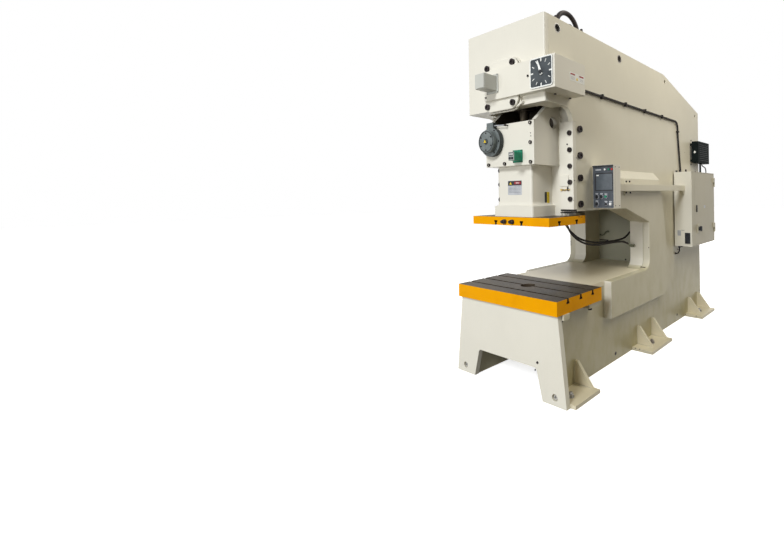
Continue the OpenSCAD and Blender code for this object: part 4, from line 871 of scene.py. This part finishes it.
# %% Pendant
FACE = 603.0
SCREEN = (589, FACE, 1697.5)
LAMP_Z = 1804
pendant = [(panel_slate, raised(panel(211, 371, 4), [(0, -1), (0, 0.1), (0.1, 0.2)], (578.5, FACE, 1657))),
           (black_plastic, raised(panel(184, 156, 5), [(0, 0), (0, 3), (5, 3), (7, 1), (8, 1)], SCREEN)),
           (screen_glass, raised(panel(166, 138, 3), [(0, 0), (0, 1.6)], SCREEN)),
           (white_enamel, label(26, 9, (524, FACE - 1.6, 1755), thick=0.3)),
           (label_grey, label(58, 10, (530, FACE, LAMP_Z), thick=0.8)),
           (black_plastic, raised(panel(212, 12, 3), [(0, -0.5), (0, 9), (2, 12)], (578.5, FACE, 1835)))]
for x, lamp in ((599, white_enamel), (638, green_plastic), (671, red_plastic)):
    pendant += [(black_plastic, collar(12, 9, 3, (x, FACE, LAMP_Z)), True),
                (lamp, raised(disc(9), [(0, -0.5), (0, 4), (1.5, 6.5), (4, 8)], (x, FACE, LAMP_Z)))]
for node in ["selector_left", "selector_middle", "selector_lower",
             "button_green", "button_black", "button_white"]:
    low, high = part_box(node)
    x, z = (low.x + high.x) / 2 / MM, (low.z + high.z) / 2 / MM
    radius = (high.x - low.x) / 2 / MM
    pendant += [(label_grey, collar(radius + 4.5, radius + 1.5, 2.2, (x, FACE, z)), True),
                (label_grey, label(28, 7, (x, FACE, z + radius + 11), thick=0.8))]
made("pendant_face", "frame", *pendant)
made("pendant_back", "frame",
     *[(black_oxide, bolt(4, 3, (685.5, y, z), "right")) for y in (630, 695) for z in (1490, 1824)],
     (dark_slate, label(1.2, 340, (685.5, 628, 1657), "right", 0.3, 0.2)))
arm_bolts = [(1055, 1710), (1116, 1711), (1052, 1604), (1130, 1603)]
made("arm_bolts", "frame", *[(black_oxide, bolt(9, 8, (546, y, z), "right")) for y, z in arm_bolts])
print("pendant's surfaces:", len(pendant))

# %% [markdown]
# The cabinet has its latch, its plates and the lugs it hangs from, and a dark resistor box sits
# above it behind a white diamond.

# %% Cabinet and resistor box
latch = raised(panel(24, 84, 8), [(0, -0.5), (0, 8), (3, 11)], (692, 2510, 1399), "right")
made("door_parts", "door", (black_plastic, latch),
     (ground_steel, stud(7, 14, (692, 2510, 1418), "right")),
     (label_grey, label(60, 34, (692, 2792, 1415), "right", 1.0)))
lugs = [(540, 2368), (620, 2368), (550, 2864)]
side_bolts = [(2476, 886), (2491, 841), (2963, 2300), (2952, 1975)]
low_cable = [(512, 2397, 925), (510, 2397, 880), (486, 2400, 850), (462, 2402, 846), (440, 2402, 846)]
high_cable = [(600, 3110, 1848), (602, 3118, 1880), (590, 3120, 1930), (560, 3100, 1960), (556, 3080, 1994)]
made("cabinet_parts", "frame", (label_grey, label(44, 66, (530, 2355, 1106), thick=1.0)),
     (dark_slate, label(40, 4, (576, 2355, 1140), thick=0.6)),
     *[(black_oxide, raised(panel(16, 20, 2), [(0, -0.5), (0, 24), (2, 27)], (x, y, 1850), "top"))
       for x, y in lugs],
     *[(black_oxide, bolt(8, 7, (HALF, y, z), "right")) for y, z in side_bolts],
     (black_rubber, tube(soft_path(low_cable), 8)),
     (black_oxide, collar(14, 8, 5, (HALF, 2402, 846), "right"), True),
     (black_rubber, tube(soft_path(high_cable), 7)))
fins = [(black_plastic, label(330, 5, (574, 3125, 2030 + 26 * k), "right", 3.0)) for k in range(9)]
made("resistor_marks", "frame",
     (white_enamel, raised(disc(19, 4), [(0, -0.3), (0, 0.8)], (527, 2915, 2137))), *fins)
print("cooling fins:", len(fins))

# %% [markdown]
# The back of the throat's recess holds a bent pipe and a dark slot, and a second slot lies on the
# slope of the floor; both slots are flat dark plates of painted shade. The lower hose ends in a
# screwed fitting. Further down come the levelling screws, the anchor nuts, the small dark marks of
# painted shadow on two of the right feet and two dark discs of painted shade for holes in the right
# side plate.

# %% Throat and feet
hook = [(-288, 1834, 1094), (-262, 1830, 1088), (-236, 1828, 1090), (-214, 1826, 1108),
        (-190, 1826, 1132), (-168, 1828, 1140), (-157, 1834, 1128)]
fitting = soft_path([(316, 1481, 1052), (328, 1494, 1041), (340, 1507, 1031), (346, 1520, 1027),
                     (346, 1548, 1027)])
fitting_radius = np.interp(np.arange(len(fitting)), [0, 8, 9, 15, 16, 24], [12, 12, 16, 16, 13, 13])
made("throat_parts", "frame", (fitting_green, tube(soft_path(hook), 7)),
     # painted shade: a flat dark plate stands for the slot at the back of the recess
     (black_oxide, label(126, 14, (-230, 1842, 1028), thick=3)),
     (black_oxide, bolt(10, 8, (71, 1842, 812))),
     (fitting_green, tube(fitting, fitting_radius)),
     (fitting_green, collar(18, 11, 5, (346, 1550, 1027)), True),
     (fitting_green, collar(20, 11, 6, (240, 1842, 1210)), True),
     (black_oxide, stud(6, 3, (536, 1525, 1021), "right", 12)),
     (black_oxide, label(9, 60, (-524, 1550, 1003), thick=1.5)))
# painted shade: a flat dark plate stands for the slot in the floor's slope
slot_shade = raised(panel(62, 12, 5), [(0, -0.5), (0, 0.6)], (476, 1504, 811.3), "slope")
made("floor_slot_shade", "frame", (black_oxide, slot_shade))
lower = [(black_oxide, bolt(10, 6, (355, -18, 291))), (black_oxide, bolt(6.5, 5, (331, -18, 228)))]
lower += [(ground_steel, bolt(20, 18, (sign * 525, 12, 64))) for sign in (1, -1)]
anchors = [(sign * 570, y) for y in (120, 1505, 2890) for sign in (1, -1)]
nut = [(0, -0.5), (0, 18), (2, 20)]
for x, y in anchors:
    lower += [(ground_steel, stud(29, 4, (x, y, 30), "top")),
              (ground_steel, raised(disc(24, 6), nut, (x, y, 34), "top")),
              (ground_steel, stud(14, 14, (x, y, 54), "top"))]
# painted shadow: small dark marks stand for the shade at the front edges of two right feet
foot_shadow_marks = [(498, 1280, 14), (546, 1280, 12), (468, 2665, 12), (610, 2665, 12)]
lower += [(black_oxide, label(width, 8, (x, y, 26), thick=0.5)) for x, y, width in foot_shadow_marks]
# painted shade: two dark discs on the right side plate stand for holes
lower += [(black_oxide, raised(disc(radius, 24), [(0, -0.5), (0, 0.5)], (HALF, y, z), "right"))
          for y, z, radius in ((2427, 79, 15), (967, 66, 17))]
made("lower_parts", "frame", *lower)
print("feet's anchors:", len(anchors))

# %% [markdown]
# Plates are joined by weld beads. A bead is a thin tube along the corner whose radius rises and
# falls by a tenth every few millimetres, as a welder's hand leaves it.

# %% Weld beads


def bead(points, radius=6.0):
    """A tube with ripples: r (1 + 0.08 sin(2 pi s / 7) + 0.05 sin(2 pi s / 31)), s along the bead."""
    points = np.asarray(points, float)
    steps = np.concatenate([[0], np.cumsum(np.linalg.norm(np.diff(points, axis=0), axis=1))])
    s = np.arange(0, steps[-1], 3.0)
    line = np.stack([np.interp(s, steps, points[:, k]) for k in range(3)], -1)
    ripple = 1 + 0.08 * np.sin(2 * np.pi * s / 7) + 0.05 * np.sin(2 * np.pi * s / 31)
    return tube(line, radius * ripple, 10, (0.31, 0.87, 0.38))


GUSSET_FACES = (322, 350, 1397, 1425, 1722, 1750, 2782, 2810, 3107, 3135)
beads = []
for sign in (1, -1):
    side = sign * HALF
    for y in GUSSET_FACES:
        beads.append(bead([(side, y, 30), (side, y, 214)], 4.5))
        beads.append(bead([(side, y, 30), (sign * 628, y, 30)], 4.5))
    for low_end, high_end in ((455, 793), (1452, 1823)):
        beads.append(bead([(side, 781, low_end), (side, 781, high_end)]))
made("weld_beads", "frame", *[(cream_enamel, rings) for rings in beads])
print("weld beads:", len(beads))

# %% [markdown]
# The studio is a floor under an even sky. Both look white to the camera but throw little light on
# the press, so the lamps shape it. A large lamp stands high in front and makes the faces that look
# forward almost white, and a low one reaches into the throat. A warm lamp over the right side lights
# it from above, so that it darkens towards the floor, and one behind the press lights the rear and
# is kept out of reflections.

# %% Studio


def area_lamp(name, place, aim, size, watts, tint=(1.0, 1.0, 1.0)):
    """A rectangular lamp at a place in metres, turned towards the point aim."""
    data = bpy.data.lights.new(name, "AREA")
    data.shape = "RECTANGLE"
    data.size = size[0]
    data.size_y = size[1]
    data.energy = watts
    data.color = tint
    lamp = bpy.data.objects.new(name, data)
    scene.collection.objects.link(lamp)
    lamp.location = place
    lamp.rotation_mode = "QUATERNION"
    lamp.rotation_quaternion = (Vector(aim) - Vector(place)).to_track_quat("-Z", "Y")
    return lamp


area_lamp("front_lamp", (2.7, -12.0, 8.8), (0.2, -1.0, 1.2), (3.6, 3.0), 1170, (0.94, 0.97, 1.0))
area_lamp("low_lamp", (-1.4, -9.0, 1.9), (0.0, 0.0, 1.3), (4.0, 2.0), 225, (0.94, 0.97, 1.0))
area_lamp("side_lamp", (2.8, 0.6, 5.2), (0.3, 0.6, 2.6), (1.2, 5.0), 118, (1.0, 0.94, 0.80))
rear_lamp = area_lamp("rear_lamp", (-5.5, 9.5, 6.0), (0.0, 1.0, 1.5), (5.0, 4.0), 520)
rear_lamp.visible_glossy = False

world = bpy.data.worlds.new("studio")
scene.world = world
world.use_nodes = True
sky = world.node_tree
background = sky.nodes["Background"]
background.inputs["Color"].default_value = (1.0, 0.955, 0.84, 1.0)
background.inputs["Strength"].default_value = 0.2
white_sky = sky.nodes.new("ShaderNodeBackground")
white_sky.inputs["Color"].default_value = (1.0, 1.0, 1.0, 1.0)
white_sky.inputs["Strength"].default_value = 1.0


def seen_directly(tree):
    """1 for rays that the camera, a mirror or a clear pane passes on, and 0 for rays that only light."""
    rays = tree.nodes.new("ShaderNodeLightPath")
    total = rays.outputs["Is Camera Ray"]
    for name in ["Is Glossy Ray", "Is Transmission Ray"]:
        plus = tree.nodes.new("ShaderNodeMath")
        plus.operation = "MAXIMUM"
        tree.links.new(total, plus.inputs[0])
        tree.links.new(rays.outputs[name], plus.inputs[1])
        total = plus.outputs[0]
    return total


mixed_sky = sky.nodes.new("ShaderNodeMixShader")
sky.links.new(seen_directly(sky), mixed_sky.inputs[0])
sky.links.new(background.outputs[0], mixed_sky.inputs[1])
sky.links.new(white_sky.outputs[0], mixed_sky.inputs[2])
sky.links.new(mixed_sky.outputs[0], sky.nodes["World Output"].inputs["Surface"])

EDGE = 40
floor_mesh = bpy.data.meshes.new("floor")
floor_mesh.from_pydata([(-EDGE, -EDGE, 0), (EDGE, -EDGE, 0), (EDGE, EDGE, 0), (-EDGE, EDGE, 0)], [],
                       [(0, 1, 2, 3)])
floor = bpy.data.objects.new("floor", floor_mesh)
scene.collection.objects.link(floor)
floor_paint = Finish("floor_paint", (0.30, 0.27, 0.20), 0.7)
direct = Wire(floor_paint, seen_directly(floor_paint.tree))
floor_paint.set("Base Color", floor_paint.mix(direct, (0.075, 0.062, 0.036), (0.9, 0.9, 0.89)))
floor_paint.set("Emission Color", floor_paint.mix(direct, (0.0, 0.0, 0.0), (0.78, 0.78, 0.78)))
floor_paint.set("Emission Strength", 1.0)
floor_mesh.materials.append(floor_paint.material)
scene.view_settings.view_transform = "Standard"
